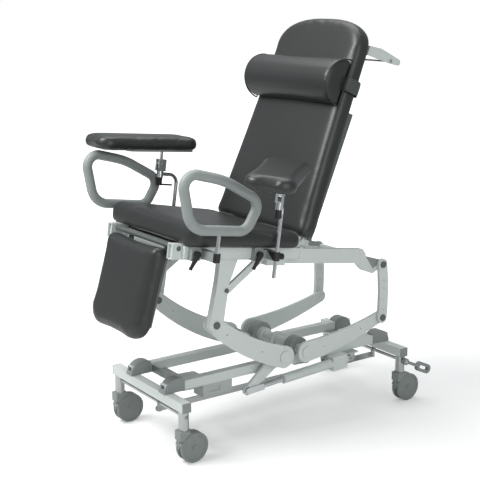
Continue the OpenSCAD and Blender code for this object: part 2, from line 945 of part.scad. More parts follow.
module rear_torsion_tube() {
  color(paint) {
    torsion_tube(rear_pivot_base_y, 0, 1);
    both_sides()
      cross_bar(arm_x - arm_t, rear_pivot_base_y, pivot_z, hub_spigot_d,
        arm_t * spigot_share - clear);
  }
}

module front_arms() {
  color(paint)
    both_sides() {
      translate([0, front_pivot_y, pivot_z])
        rotate([atan2(front_rise, -front_reach), 0, 0])
          bowed_arm(arm_x, arm_t, norm([front_reach, front_rise]), front_sag, hub_d,
            front_knee_d, 0, pin_d + 2 * run, front_hole_shares, small_hole_d);
      cross_bar(arm_x + arm_t, front_pivot_y, pivot_z, cover_d, cover_t);
    }
}

module rear_arms() {
  color(paint)
    both_sides() {
      difference() {
        translate([0, rear_pivot_base_y, pivot_z])
          rotate([atan2(rear_rise, rear_reach), 0, 0])
            bowed_arm(arm_x + clear, arm_t - clear, norm([rear_reach, rear_rise]),
              -rear_sag, hub_d - rear_hub_less, rear_knee_d, 0, 0, rear_hole_shares,
              small_hole_d);
        cross_bar(arm_x, rear_pivot_base_y, pivot_z, hub_spigot_d + 2 * run,
          arm_t / 2);
      }
      cross_bar(arm_x + arm_t, rear_pivot_base_y, pivot_z, cover_d, cover_t);
      cross_bar(arm_x - cover_t / 2, rear_knee_y, rear_knee_z, pin_d, cover_t);
    }
}

// Spigot on the ends of the rear torsion tube
hub_spigot_d = 30;

module front_knee_pins() {
  color(dark_grey)
    both_sides() {
      cross_bar(arm_x - clear, front_knee_y, front_knee_z, pin_d,
        arm_t + side_gap + leg_t + 2 * clear);
      cross_bar(arm_x - clear - head_t, front_knee_y, front_knee_z, pin_d + head_over,
        head_t);
      cross_bar(leg_x + leg_t + clear, front_knee_y, front_knee_z, pin_d + head_over,
        head_t);
    }
}

// Diameter of the cross tube between the rear links
cross_tube_d = 26;

module rear_cross_tube() {
  color(paint)
    cross_bar(-arm_x + clear, rear_top_y, rear_top_z, cross_tube_d, 2 * (arm_x - clear));
  color(dark_grey)
    both_sides() {
      cross_bar(arm_x - clear, rear_top_y, rear_top_z, pin_d,
        arm_t + side_gap + link_t + 2 * clear);
      cross_bar(leg_x + link_t + clear, rear_top_y, rear_top_z, pin_d + head_over,
        head_t);
    }
}

module rear_links() {
  color(paint)
    both_sides() {
      translate([0, rear_knee_y, rear_knee_z])
        rotate([link_turn, 0, 0])
          bowed_arm(leg_x, link_t, link_len, -link_bow, link_w, link_w, 0,
            pin_d + 2 * run, link_hole_shares, small_hole_d);
      cross_bar(leg_x + link_t, rear_knee_y, rear_knee_z, pin_d + head_over, head_t);
    }
}

// Bow of the rear links towards the head end
link_bow = 6;

// Actuators: built along X from the fixed pin, then turned into place

// Length of a fork from its lever pin to its bridge
fork_l = 64;
// Length of the outer tube beyond the motor case
near_tube = 232;
middle_tube = 330;
// Height of the motor case
motor_h = 56;

function act_angle(anchor, eye) = atan2(eye[1] - anchor[1], eye[0] - anchor[0]);
near_anchor = [near_anchor_y, anchor_z];
near_eye = [front_pivot_y - lever_reach, pivot_z - lever_drop];
middle_anchor = [middle_anchor_y, anchor_z];
middle_eye = [rear_pivot_base_y + lever_reach, pivot_z - lever_drop];

// The case and outer tube of an actuator from its fixed pin
module actuator_case(x, anchor, eye, tube_l, hang) {
  translate([x, anchor[0], anchor[1]])
    rotate([act_angle(anchor, eye), 0, 0])
      rotate([90, 0, 90])
        difference() {
          union() {
            translate([0, 0, -eye_w / 2])
              cylinder(d = 2 * act_pin_d, h = eye_w);
            translate([0, -act_pin_d, -eye_w / 2])
              cube([clevis_l, 2 * act_pin_d, eye_w]);
            translate([clevis_l, -motor_h / 2 + hang, -act_tube_d / 2])
              cube([motor_len, motor_h, act_tube_d]);
            translate([clevis_l + motor_len, 0, 0])
              rotate([0, 90, 0])
                cylinder(d = act_tube_d, h = tube_l);
          }
          translate([0, 0, -eye_w])
            cylinder(d = act_pin_d + 2 * run, h = 2 * eye_w);
          translate([clevis_l + motor_len, 0, 0])
            rotate([0, 90, 0])
              cylinder(d = piston_d + 2 * run, h = tube_l + over);
        }
}

// A piston rod with a fork that straddles its lever
module actuator_piston(x, anchor, eye, tube_l) {
  reach = norm(eye - anchor);
  inside = clevis_l + motor_len + tube_l / 3;
  fork_w = lever_t + 2 * (side_gap + plate_t);
  translate([x, anchor[0], anchor[1]])
    rotate([act_angle(anchor, eye), 0, 0])
      rotate([90, 0, 90]) {
        translate([inside, 0, 0])
          rotate([0, 90, 0])
            cylinder(d = piston_d, h = reach - inside - fork_l);
        translate([reach - fork_l - plate_t, -act_pin_d, -fork_w / 2])
          cube([plate_t, 2 * act_pin_d, fork_w]);
        for (s = [-1, 1])
          translate([reach - fork_l, 0, s * (fork_w / 2 - plate_t / 2) - plate_t / 2]) {
            translate([0, -act_pin_d, 0])
              cube([fork_l, 2 * act_pin_d, plate_t]);
            translate([fork_l, 0, 0])
              cylinder(r = act_pin_d, h = plate_t);
          }
        translate([reach, 0, -fork_w / 2 - plate_t / 2])
          cylinder(d = act_pin_d, h = fork_w + plate_t);
      }
}

module near_actuator() {
  color(paint)
    actuator_case(act_x, near_anchor, near_eye, near_tube, 0);
}

module near_piston() {
  color(chrome_tone)
    actuator_piston(act_x, near_anchor, near_eye, near_tube);
}

module middle_actuator() {
  color(paint)
    actuator_case(0, middle_anchor, middle_eye, middle_tube, 0);
}

module middle_piston() {
  color(chrome_tone)
    actuator_piston(0, middle_anchor, middle_eye, middle_tube);
}

// Chassis

// Chamfer of the beam ends and length of their caps
beam_chamfer = 18;
beam_cap = 46;
// Thickness of a rear lug
lug_t = arm_t;
// Radius of the lug around the rear pivot
lug_r = 16;
// Place of the knuckle under the lug, from the rear pivot
knuckle_back = 38;
knuckle_drop = 27;
knuckle_r = 10;

module chassis_beams() {
  color(paint)
    on_chassis() {
      both_sides() {
        side_plate(beam_x, beam_w)
          polygon([[-beam_fwd, 0], [beam_back, 0], [beam_back, beam_h - beam_chamfer],
            [beam_back - beam_chamfer, beam_h], [-beam_fwd, beam_h]]);
        // Outriggers that carry the seat frame
        for (y = [-beam_fwd + member, -seat_back - member])
          translate([beam_x + beam_w, y - member / 2, 0])
            cube([side_out - beam_x - beam_w, member, side_z]);
        difference() {
          side_plate(arm_x, lug_t)
            union() {
              polygon([[beam_back - beam_cap, 0], [beam_back, beam_h / 2],
                [rear_pivot_y, -rear_pivot_drop + lug_r],
                [rear_pivot_y, -rear_pivot_drop - lug_r],
                [rear_pivot_y - knuckle_back,
                  -rear_pivot_drop - knuckle_drop - knuckle_r],
                [beam_back - knuckle_r, -knuckle_drop]]);
              translate([rear_pivot_y, -rear_pivot_drop])
                circle(r = lug_r);
              translate([rear_pivot_y - knuckle_back,
                -rear_pivot_drop - knuckle_drop])
                circle(r = knuckle_r);
            }
          cross_bar(arm_x - over, rear_pivot_y, -rear_pivot_drop, pin_d + 2 * run,
            lug_t + 2 * over);
        }
        cross_bar(arm_x + lug_t - over, rear_pivot_y - knuckle_back,
          -rear_pivot_drop - knuckle_drop, 2 * knuckle_r - edge_r, side_gap);
      }
      // Cross tubes between the beams
      for (y = [-beam_fwd + member, -seat_back - member, beam_back - 2 * beam_cap])
        translate([-beam_x, y - member / 2, 0])
          cube([2 * beam_x, member, side_z]);
    }
}

// Gusset at the top of a front leg
gusset_w = 74;
gusset_h = 66;
// Lean of the leg towards the head end, over its height
leg_shift = 8;
// Share of its height at which the gusset's edge turns
gusset_turn = 0.75;
// Brace from the leg to the seat frame
brace_w = 18;
brace_drop = 89;
brace_back = 152;

module front_legs() {
  top_y = -knee_fwd + leg_shift;
  color(paint)
    on_chassis()
      both_sides() {
        difference() {
          side_plate(leg_x, leg_t)
            union() {
              translate([-knee_fwd, -leg_drop])
                circle(d = leg_w + 2 * edge_r);
              polygon([[-knee_fwd - leg_w / 2 - edge_r, -leg_drop],
                [-knee_fwd + leg_w / 2 + edge_r, -leg_drop],
                [top_y + leg_w / 2, -gusset_h],
                [top_y + leg_w, side_z],
                [top_y - gusset_w + leg_w, side_z],
                [top_y - gusset_w + leg_w, -gusset_h * gusset_turn],
                [top_y - leg_w / 2, -gusset_h]]);
            }
          cross_bar(leg_x - over, -knee_fwd, -leg_drop, pin_d + 2 * run,
            leg_t + 2 * over);
        }
        // Thin brace and its pin head
        side_plate(leg_x + leg_t / 4, leg_t / 2)
          polygon([[top_y, -brace_drop - brace_w / 2],
            [top_y + leg_w / 2, -brace_drop - brace_w],
            [-brace_back + brace_w, side_z - edge_r],
            [-brace_back + brace_w, side_z], [-brace_back - brace_w, side_z]]);
        cross_bar(leg_x + leg_t, top_y + leg_w / 3, -brace_drop, pin_d, head_t);
      }
}

// Seat

// Where the side members end, ahead of the backrest line
side_end = 14;
// Hinge ear around the backrest pin
ear_r = 13;
ear_t = 8;
hinge_pin_d = 14;
// Backrest bracket plate thickness
bracket_t = 8;
// Share of the ear's radius at which its edge meets the round
ear_share = 0.7;
// Corner radii of the seat cushion at its foot and rear ends
seat_corner = 46;
seat_rear_corner = 26;

module seat_frame() {
  color(paint)
    on_chassis() {
      both_sides() {
        difference() {
          translate([side_x, -side_fwd, side_z])
            cube([side_w, side_fwd - side_end, side_h]);
          translate([side_x + tube_wall, -side_fwd - over, side_z + tube_wall])
            cube([side_w - 2 * tube_wall, stop_l, side_h - 2 * tube_wall]);
          cross_bar(side_x - over, -leg_hinge_fwd, leg_hinge_z,
            leg_hinge_d + 2 * run, side_w + 2 * over);
        }
        // Ears that carry the backrest pin
        side_plate(side_x, ear_t)
          union() {
            translate([hinge_y, hinge_z])
              circle(r = ear_r);
            polygon([[-side_end - edge_r, side_z], [-side_end - edge_r, seat_z],
              [hinge_y - ear_r * ear_share, hinge_z + ear_r * ear_share],
              [hinge_y + ear_r, hinge_z], [hinge_y + ear_r, side_z + side_h / 2],
              [-side_end + ear_r, side_z]]);
          }
        cross_bar(side_x - edge_r, hinge_y, hinge_z, hinge_pin_d,
          ear_t + bracket_t + 2 * edge_r);
      }
      // Cross members between the side members
      for (y = [-side_fwd + 2 * member, -beam_fwd - member])
        translate([-side_x, y, side_z])
          cube([2 * side_x, member, side_h - board_t - plate_t]);
    }
}

module seat_board() {
  color(wood)
    on_chassis()
      translate([-side_x + clear, -side_fwd + 2 * member, seat_z - board_t - plate_t])
        cube([2 * (side_x - clear), side_fwd - 2 * member - side_end - member,
          board_t + plate_t]);
}

module seat_cushion() {
  outline = cushion_outline(seat_w, seat_len, seat_corner, seat_rear_corner, side_draw);
  mid_t = (seat_front_t + seat_rear_t) / 2;
  slope = (seat_rear_t - seat_front_t) / mid_t / seat_len;
  color(vinyl)
    on_chassis()
      translate([0, seat_mid, seat_z + clear])
        padded_form(outline, cushion_levels(mid_t), slope);
}

// Spacers and stops of the accessory rails
spacer_d = 16;
stop_l = 10;
stop_over = 2;
acc_end = 4;
// Shares of an accessory rail's length at its spacers
spacer_shares = [0.12, 0.5, 0.88];
// Where the rails begin behind the foot end of the seat frame
rail_start = 48;

module accessory_rails() {
  front = -side_fwd + rail_start;
  length = side_fwd - rail_start - acc_end;
  color(paint)
    on_chassis()
      both_sides() {
        translate([acc_x, front, acc_z])
          cube([acc_t, length, acc_h]);
        for (share = spacer_shares)
          cross_bar(side_out, front + length * share, acc_z + acc_h / 2, spacer_d,
            acc_gap);
      }
  color(grey)
    on_chassis()
      both_sides()
        for (y = [front - stop_l, -acc_end])
          translate([side_out + 1, y, acc_z - stop_over])
            cube([acc_gap + acc_t, stop_l, acc_h + 2 * stop_over]);
}

// Backrest, in its own frame: +Y is the back normal and +Z runs up the backrest

board_y = back_t - back_face;
frame_y = board_y + board_t;
// Section of the backrest frame tubes
frame_w = 25;
frame_t = 20;
// Inset of the board from the cushion edge
board_inset = 26;
frame_len = 480;
// Where the frame tubes stand from the middle plane
frame_x = side_x + ear_t + side_gap;

module backrest_frame() {
  color(paint)
    on_backrest() {
      both_sides() {
        // Side tube with its hinge plate
        translate([frame_x, frame_y, back_foot])
          cube([frame_w, frame_t, frame_len]);
        difference() {
          side_plate(frame_x, bracket_t)
            union() {
              circle(r = ear_r);
              polygon([[-ear_r, 0], [0, -ear_r], [frame_y + frame_t, back_foot],
                [frame_y + frame_t, 2 * back_foot],
                [frame_y, 2 * back_foot], [frame_y - ear_r, back_foot - ear_r]]);
            }
          cross_bar(frame_x - over, 0, 0, hinge_pin_d + 2 * run,
            bracket_t + 2 * over);
        }
        roll_bracket();
      }
      // Cross tubes behind the board
      for (z = [beam_back + 2 * frame_t, frame_len])
        translate([-frame_x, frame_y, z])
          cube([2 * frame_x, frame_t, frame_t]);
    }
}

// Roll bracket: root height, top rise and end radius
root_h = 35;
bracket_rise = 11;
bracket_end_r = 12;
// Height of the bracket root above the hinge
root_z = 724;
// Place of the rod behind the frame face and above the root
rod_back = 115;
rod_up = 20;
rod_y = frame_y + rod_back;
rod_z = root_z + rod_up;
// Shares of the bracket's length at its bends, and of its rise at its end
bend_low = 0.7;
bend_high = 0.35;
end_rise = 1.6;

module roll_bracket() {
  end_y = board_y + board_t + bracket_d;
  difference() {
    side_plate(bracket_x, plate_t)
      union() {
        polygon([[frame_y, root_z], [frame_y + bracket_d * bend_low, root_z + bracket_rise],
          [end_y - bracket_end_r, root_z + bracket_rise * end_rise],
          [end_y - bracket_end_r, root_z + bracket_rise * end_rise + 2 * bracket_end_r],
          [frame_y + bracket_d * bend_high, root_z + root_h + bracket_rise],
          [frame_y, root_z + root_h]]);
        translate([end_y - bracket_end_r, root_z + bracket_rise * end_rise + bracket_end_r])
          circle(r = bracket_end_r);
      }
    cross_bar(bracket_x - over, rod_y, rod_z, rod_d + 2 * run,
      plate_t + 2 * over);
  }
  translate([bracket_x - root_h / 2, frame_y, root_z])
    cube([root_h / 2 + plate_t, plate_t, root_h]);
}

module paper_rod() {
  color(chrome_tone)
    on_backrest() {
      cross_bar(-bracket_x - plate_t - clear, rod_y, rod_z, rod_d,
        2 * (bracket_x + plate_t + clear));
      both_sides()
        cross_bar(bracket_x + plate_t + clear, rod_y, rod_z, rod_d + edge_r,
          edge_r);
    }
}

// Half width of the backrest at a height above its foot, below the arch
function back_half(v) = back_w / 2 - (back_w - back_top_w) / 2 * v / (back_len - arch_h);

// Outline of the backrest about its middle, with arch and tapered sides
arch_steps = 20;
// Squareness of the arch: 2 makes it an ellipse
arch_power = 2.5;
foot_r = 26;
function squared(v) = sign(v) * pow(abs(v), 2 / arch_power);
function back_outline(inset) = let (
  mid = back_len / 2,
  shoulder = back_len - arch_h - mid,
  half = back_top_w / 2 - inset,
  foot = back_w / 2 - inset)
  concat(
    [for (i = [0:arch_steps]) let (a = 180 * i / arch_steps)
      [half * squared(cos(a)), shoulder + (arch_h - inset) * squared(sin(a))]],
    [for (share = [3 / 4, 1 / 2, 1 / 4])
      [-foot + (foot - half) * share + side_draw * sin(180 * share),
        -mid + (shoulder + mid) * share]],
    corner(-foot + foot_r, -mid + inset + foot_r, foot_r, 180),
    corner(foot - foot_r, -mid + inset + foot_r, foot_r, 270),
    [for (share = [1 / 4, 1 / 2, 3 / 4])
      [foot - (foot - half) * share - side_draw * sin(180 * share),
        -mid + (shoulder + mid) * share]]);

module backrest_board() {
  color(wood)
    on_backrest()
      translate([0, frame_y, back_foot + back_len / 2])
        rotate([90, 0, 0])
          linear_extrude(board_t - clear)
            polygon(back_outline(board_inset));
}

module backrest_cushion() {
  color(vinyl)
    on_backrest()
      translate([0, board_y, back_foot + back_len / 2])
        rotate([90, 0, 0])
          padded_form(back_outline(0), cushion_levels(back_t / crown_share));
}

// Outline of the bolster: a half round with its flat against the backrest
bolster_steps = 18;
function bolster_outline() = [for (i = [bolster_steps:-1:0]) let (a = 180 * i / bolster_steps)
  [bolster_d * (sin(a) - 0.5), bolster_h / 2 * cos(a)]];
// Shares of the outline and distances in from the ends of the bolster
end_shares = [0.72, 0.9, 0.98, 1];
end_steps = [0, 4, 12, 26];
// Thickness of the strap and its play around the backrest
strap_t = 3;
strap_play = 3;
// Share of the cushion's thickness at which the strap turns in
strap_turn = 0.8;
function strap_loop(side, depth, g) = let (back = side - board_inset + g)
  [[-side - g, -clear - g], [-side - g, back_t * strap_turn], [-back, depth + g],
    [back, depth + g], [side + g, back_t * strap_turn], [side + g, -clear - g]];

module head_bolster() {
  half = bolster_len / 2;
  levels = concat([for (i = [0:3]) [end_shares[i], end_steps[i] - half]],
    [for (i = [3:-1:0]) [end_shares[i], half - end_steps[i]]]);
  strap_half = back_half(bolster_up - strap_w) + strap_play;
  depth = back_t + board_t + 2 * strap_play;
  color(vinyl)
    on_backrest()
      translate([0, -back_face - clear, back_foot + bolster_up]) {
        rotate([90, 0, 90])
          rotate([0, 0, 180])
            translate([bolster_d / 2, 0, 0])
              padded_form(bolster_outline(), levels);
        // Strap round the back
        translate([0, 0, -strap_w / 2])
          linear_extrude(strap_w)
            difference() {
              polygon(strap_loop(strap_half, depth, strap_t));
              polygon(strap_loop(strap_half, depth, 0));
            }
      }
}

// Leg rest, in its own frame: +Y is the back normal and +Z runs up the leg rest

leg_face = 54;
leg_frame_w = 20;
leg_frame_x = 110;
knob_l = 16;
knob_over = 4;
// Share of the cushion's length that the frame takes
leg_frame_share = 0.8;
// Corner radii of the leg rest cushion at its foot and at its hinge
leg_corner = 70;
leg_top_corner = 22;

module legrest_frame() {
  reach = side_x + side_w;
  color(grey)
    on_legrest() {
      cross_bar(-reach, 0, 0, leg_hinge_d, 2 * reach);
      both_sides() {
        side_plate(leg_frame_x, leg_frame_w)
          polygon([[0, -leg_hinge_d / 4], [leg_hinge_d / 4, leg_hinge_d / 4],
            [leg_cushion_t - leg_face + board_t + leg_frame_w / 2, -leg_gap],
            [leg_cushion_t - leg_face + board_t + leg_frame_w / 2,
              -leg_gap - leg_len * leg_frame_share],
            [leg_cushion_t - leg_face + board_t, -leg_gap - leg_len * leg_frame_share],
            [leg_cushion_t - leg_face + board_t, -leg_gap]]);
      }
    }
  color(wood)
    on_legrest()
      translate([-leg_cushion_w / 2 + board_inset, leg_cushion_t - leg_face + clear,
        -leg_gap - leg_len + 2 * board_inset])
        cube([leg_cushion_w - 2 * board_inset, board_t - clear,
          leg_len - 3 * board_inset]);
}

module legrest_cushion() {
  outline = cushion_outline(leg_cushion_w, leg_len, leg_corner, leg_top_corner, side_draw);
  color(vinyl)
    on_legrest()
      translate([0, leg_cushion_t - leg_face, -leg_gap - leg_len / 2])
        rotate([90, 0, 0])
          padded_form(outline, cushion_levels(leg_cushion_t / crown_share));
}

module legrest_knob() {
  color(black)
    on_legrest()
      cross_bar(-side_out - clear - knob_l, 0, 0, leg_hinge_d + knob_over, knob_l);
}

// Side accessories

clamp_l = 34;
clamp_t = 20;
jaw_t = 4;

// A jaw on the accessory rail, centred on y, in the frame of the chassis
module rail_jaw(y) {
  difference() {
    translate([side_out + 1, y - clamp_l / 2, acc_z - clear - jaw_t])
      cube([acc_out + clear + clamp_t - side_out - 1, clamp_l,
        acc_h + 2 * clear + 2 * jaw_t]);
    translate([acc_x - clear, y - clamp_l, acc_z - clear])
      cube([acc_t + 2 * clear, 2 * clamp_l, acc_h + 2 * clear]);
    translate([side_out, y - clamp_l, acc_z + jaw_t])
      cube([acc_gap + acc_t, 2 * clamp_l, acc_h - 2 * jaw_t]);
  }
}

// Post holder standing out from a jaw
holder_l = 26;
holder_h = 30;

module rail_clamp(y, post_x, post_y) {
  difference() {
    union() {
      rail_jaw(y);
      translate([acc_out + clear + clamp_t - edge_r, post_y - holder_l / 2,
        acc_z + (acc_h - holder_h) / 2])
        cube([post_x - acc_out - clear - clamp_t + edge_r, holder_l, holder_h]);
      translate([acc_out + clear, min(y, post_y) - holder_l / 2,
        acc_z + (acc_h - holder_h) / 2])
        cube([clamp_t, abs(post_y - y) + holder_l, holder_h]);
      translate([post_x, post_y, acc_z + (acc_h - holder_h) / 2])
        cylinder(d = holder_l, h = holder_h);
    }
    translate([post_x, post_y, acc_z - holder_h])
      cylinder(d = post_d + 2 * run, h = 3 * holder_h);
  }
}

// Clamping lever on the outer face of a jaw, with its arm hanging down
lever_len = 52;
lever_d = 22;
lever_h = 14;
// Thickness of the lever's arm and its lean towards the foot end
arm_w = 6;
lever_lean = 27;
// Half widths of the arm at its root and tip, as shares of the knob
arm_root = 0.45;
arm_tip = 0.2;
// An arm's face ahead of the face of its knob
arm_proud = 1.5;

module clamp_lever(y) {
  x = acc_out + clear + clamp_t + clear;
  z = acc_z + acc_h / 2;
  cross_bar(x, y, z, lever_d, lever_h);
  translate([x + lever_h - arm_w + arm_proud, y, z])
    rotate([-lever_lean, 0, 0]) {
      side_plate(0, arm_w)
        polygon([[-lever_d * arm_root, 0], [lever_d * arm_root, 0],
          [lever_d * arm_tip, -lever_len], [-lever_d * arm_tip, -lever_len]]);
      cross_bar(-over, 0, -lever_len, lever_d / 2, arm_w + 2 * over);
    }
}

// Distance of a clamp's jaw ahead of its post
jaw_ahead = 34;

module hoop_clamp(side) {
  color(dark_grey)
    on_chassis()
      on_side(side)
        rail_clamp(-hoop_post_fwd - jaw_ahead, hoop_x, -hoop_post_fwd);
}

module hoop_lever(side) {
  color(black)
    on_chassis()
      on_side(side)
        clamp_lever(-hoop_post_fwd - jaw_ahead);
}

// Corners of an arm hoop's centre line from its post, as shares of its length and rise,
// and its bend radii as shares of its length
hoop_corners = [[-0.345, 0], [0.329, 0], [0.468, 0.542], [-0.009, 0.887], [-0.532, 1]];
hoop_points = [for (p = hoop_corners)
  [p[0] * hoop_len - hoop_post_fwd, p[1] * hoop_rise + hoop_z + hoop_d / 2]];
hoop_radii = [for (share = [0.222, 0.142, 0.129, 0.923, 0.129]) share * hoop_len];

module arm_hoop(side) {
  drop = side > 0 ? 0 : hoop_step;
  post_z = acc_z + (acc_h - holder_h) / 2 - edge_r;
  on_chassis()
    on_side(side)
      translate([0, 0, -drop]) {
        color(grey)
          translate([hoop_x, 0, 0])
            rotate([90, 0, 90])
              closed_tube(hoop_points, hoop_radii, hoop_d);
        color(chrome_tone)
          translate([hoop_x, -hoop_post_fwd, post_z])
            cylinder(d = post_d, h = hoop_z + edge_r - post_z);
      }
}

function pad_fwd(side) = side > 0 ? pad_fwd_left : pad_fwd_right;
function pad_turn(side) = side > 0 ? turn_left : 0;
function swivel_z(side) = side > 0 ? swivel_z_left : swivel_z_right;

module pad_clamp(side) {
  y = -pad_fwd(side);
  color(dark_grey)
    on_chassis()
      on_side(side) {
        rail_clamp(y - jaw_ahead - holder_l / 2, pad_post_x, y);
        translate([pad_post_x, y + holder_l / 2 - edge_r, acc_z + acc_h / 2])
          rotate([-90, 0, 0])
            cylinder(d = lever_d, h = lever_h + edge_r);
      }
}

module pad_lever(side) {
  color(black)
    on_chassis()
      on_side(side)
        clamp_lever(-pad_fwd(side) - jaw_ahead - holder_l / 2);
}

// Bend radius of the pad post and how far the post reaches below the rail clamp
post_bend = 34;
post_below = 95;
// Swivel boss on the end of the bent arm
boss_d = 26;
boss_h = 24;

// The frame of a pad arm: its zero on the post axis, +X along the bent arm
module on_pad_arm(side) {
  on_chassis()
    on_side(side)
      translate([pad_post_x, -pad_fwd(side), 0])
        rotate([0, 0, pad_turn(side) - 90])
          children();
}

module pad_post(side) {
  z = swivel_z(side) + boss_h / 2;
  foot = acc_z + acc_h - post_below;
  color(chrome_tone)
    on_pad_arm(side)
      difference() {
        union() {
          translate([0, 0, foot])
            cylinder(d = post_d, h = z - post_bend - foot);
          translate([0, 0, z - post_bend])
            rotate([90, 0, 0])
              mirror([1, 0, 0])
                rotate([0, 0, 90])
                  bend(post_bend, post_d, 90);
          translate([post_bend, 0, z])
            rotate([0, 90, 0])
              cylinder(d = post_d, h = pad_arm - post_bend);
          translate([pad_arm, 0, swivel_z(side)])
            cylinder(d = boss_d, h = boss_h);
        }
        translate([pad_arm, 0, swivel_z(side) - over])
          cylinder(d = spigot_d + 2 * run, h = boss_h + 2 * over);
      }
}

// Joint block: spigot, fork cheeks and ratchet lever
spigot_d = 14;
cheek_t = 8;
block_side = 30;
cheek_h = 44;
eye_t = 12;
tilt_up = 26;
tilt_pin_d = 8;
ratchet_d = 22;
ratchet_h = 30;

module pad_block(side) {
  base_z = swivel_z(side) + boss_h + clear;
  color(chrome_tone)
    on_pad_arm(side)
      translate([pad_arm, 0, 0]) {
        translate([0, 0, swivel_z(side) - clear - over])
          cylinder(d = spigot_d, h = boss_h + 2 * clear + over);
        translate([-block_side / 2, -block_side / 2, base_z])
          cube([block_side, block_side, plate_t]);
        for (s = [-1, 1])
          difference() {
            translate([-block_side / 2,
              s * (eye_t / 2 + clear + cheek_t / 2) - cheek_t / 2, base_z])
              cube([block_side, cheek_t, cheek_h]);
            translate([0, -boss_d, base_z + tilt_up])
              rotate([-90, 0, 0])
                cylinder(d = tilt_pin_d + 2 * run, h = 2 * boss_d);
          }
      }
  color(black)
    on_pad_arm(side)
      translate([pad_arm, 0, swivel_z(side) - clear - ratchet_h]) {
        cylinder(d = ratchet_d, h = ratchet_h);
        translate([-lever_len, -edge_r, 0])
          cube([lever_len, 2 * edge_r, 2 * edge_r]);
        translate([-lever_len, 0, 0])
          cylinder(d = lever_d / 2, h = 2 * edge_r);
      }
}

// Droop of the pads towards their outer end, and stem length
droop_left = 6;
droop_right = 3;
// Corner radius of a pad
pad_corner = 46;
// Shares of the pad's length and width that its plate takes
plate_len_share = 0.66;
plate_w_share = 0.8;
// Distance of the plate's middle ahead of the swivel
plate_ahead = 35;
stem_len = 78;
pad_plate_t = 8;
pad_stem_d = 11;

module arm_pad(side) {
  base_z = swivel_z(side) + boss_h + clear + tilt_up;
  droop = side > 0 ? droop_left : droop_right;
  outline = cushion_outline(pad_w, pad_len, pad_corner, pad_corner, side_draw);
  rise = stem_len - tilt_up;
  on_pad_arm(side)
    translate([pad_arm, 0, base_z])
      rotate([0, droop, 0]) {
        color(chrome_tone) {
          translate([0, eye_t / 2, 0])
            rotate([90, 0, 0])
              cylinder(d = 2 * eye_t, h = eye_t);
          translate([0, block_side / 2 + clear, 0])
            rotate([90, 0, 0])
              cylinder(d = tilt_pin_d, h = block_side + 2 * clear);
          cylinder(d = pad_stem_d, h = rise);
          translate([0, 0, rise - edge_r])
            cylinder(d = block_side, h = edge_r);
        }
        color(grey)
          translate([plate_ahead - pad_len * plate_len_share / 2, -pad_w * plate_w_share / 2,
            rise])
            cube([pad_len * plate_len_share, pad_w * plate_w_share, pad_plate_t]);
        color(vinyl)
          translate([pad_offset, 0, rise + pad_plate_t])
            rotate([0, 0, 90])
              padded_form(outline, cushion_levels(pad_t / crown_share));
      }
}

base_rails();
base_cross_members();
base_end_caps();
castor_sockets();
bearing_blocks();
base_brackets();
control_box();
castor_fork(castor_x, -member_y);  // castor_fork_front_left
castor_fork(-castor_x, -member_y);  // castor_fork_front_right
castor_fork(castor_x, member_y);  // castor_fork_rear_left
castor_fork(-castor_x, member_y);  // castor_fork_rear_right
castor_wheel(castor_x, -member_y);  // castor_wheel_front_left
castor_wheel(-castor_x, -member_y);  // castor_wheel_front_right
castor_wheel(castor_x, member_y);  // castor_wheel_rear_left
castor_wheel(-castor_x, member_y);  // castor_wheel_rear_right
brake_shaft_front();
brake_shaft_rear();
brake_pedals();
brake_link_bar();
front_torsion_tube();
front_arms();
rear_torsion_tube();
rear_arms();
front_knee_pins();
rear_cross_tube();
rear_links();
near_actuator();
near_piston();
middle_actuator();
middle_piston();
chassis_beams();
front_legs();
seat_frame();
seat_board();
seat_cushion();
accessory_rails();
backrest_frame();
backrest_board();
backrest_cushion();
paper_rod();
head_bolster();
legrest_frame();
legrest_cushion();
legrest_knob();
hoop_clamp(1);  // hoop_clamp_left
hoop_clamp(-1);  // hoop_clamp_right
hoop_lever(1);  // hoop_lever_left
hoop_lever(-1);  // hoop_lever_right
arm_hoop(1);  // arm_hoop_left
arm_hoop(-1);  // arm_hoop_right
pad_clamp(1);  // pad_clamp_left
pad_clamp(-1);  // pad_clamp_right
pad_lever(1);  // pad_lever_left
pad_lever(-1);  // pad_lever_right
pad_post(1);  // pad_post_left
pad_post(-1);  // pad_post_right
pad_block(1);  // pad_block_left
pad_block(-1);  // pad_block_right
arm_pad(1);  // arm_pad_left
arm_pad(-1);  // arm_pad_right
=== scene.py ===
"""Phlebotomy chair, dressed: vinyl upholstery, powder-coated frame, chrome posts, castors.

Lengths are metres. +Z is up, -Y is the foot end and +X is the sitter's left.
"""

import math

import bpy
import numpy as np
from mathutils import Matrix, Vector


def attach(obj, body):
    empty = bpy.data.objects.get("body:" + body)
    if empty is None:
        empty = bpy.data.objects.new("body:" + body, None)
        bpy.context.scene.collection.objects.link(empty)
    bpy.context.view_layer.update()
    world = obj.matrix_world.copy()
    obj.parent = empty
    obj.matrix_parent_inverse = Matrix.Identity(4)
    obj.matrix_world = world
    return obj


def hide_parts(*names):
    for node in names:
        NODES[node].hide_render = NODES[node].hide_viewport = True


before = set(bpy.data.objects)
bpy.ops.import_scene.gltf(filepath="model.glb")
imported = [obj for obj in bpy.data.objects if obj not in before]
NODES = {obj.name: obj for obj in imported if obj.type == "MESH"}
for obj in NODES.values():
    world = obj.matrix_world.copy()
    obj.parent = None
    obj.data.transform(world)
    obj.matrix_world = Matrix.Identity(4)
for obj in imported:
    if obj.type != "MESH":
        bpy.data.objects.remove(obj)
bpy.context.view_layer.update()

# Frames of the tilting parts, as the solids have them
TILT = math.radians(8)
KNEE_Y, KNEE_Z = -0.361, 0.466
KNEE_FWD, LEG_DROP = 0.312, 0.2115
CHASSIS_Y = KNEE_Y + KNEE_FWD * math.cos(TILT) + LEG_DROP * math.sin(TILT)
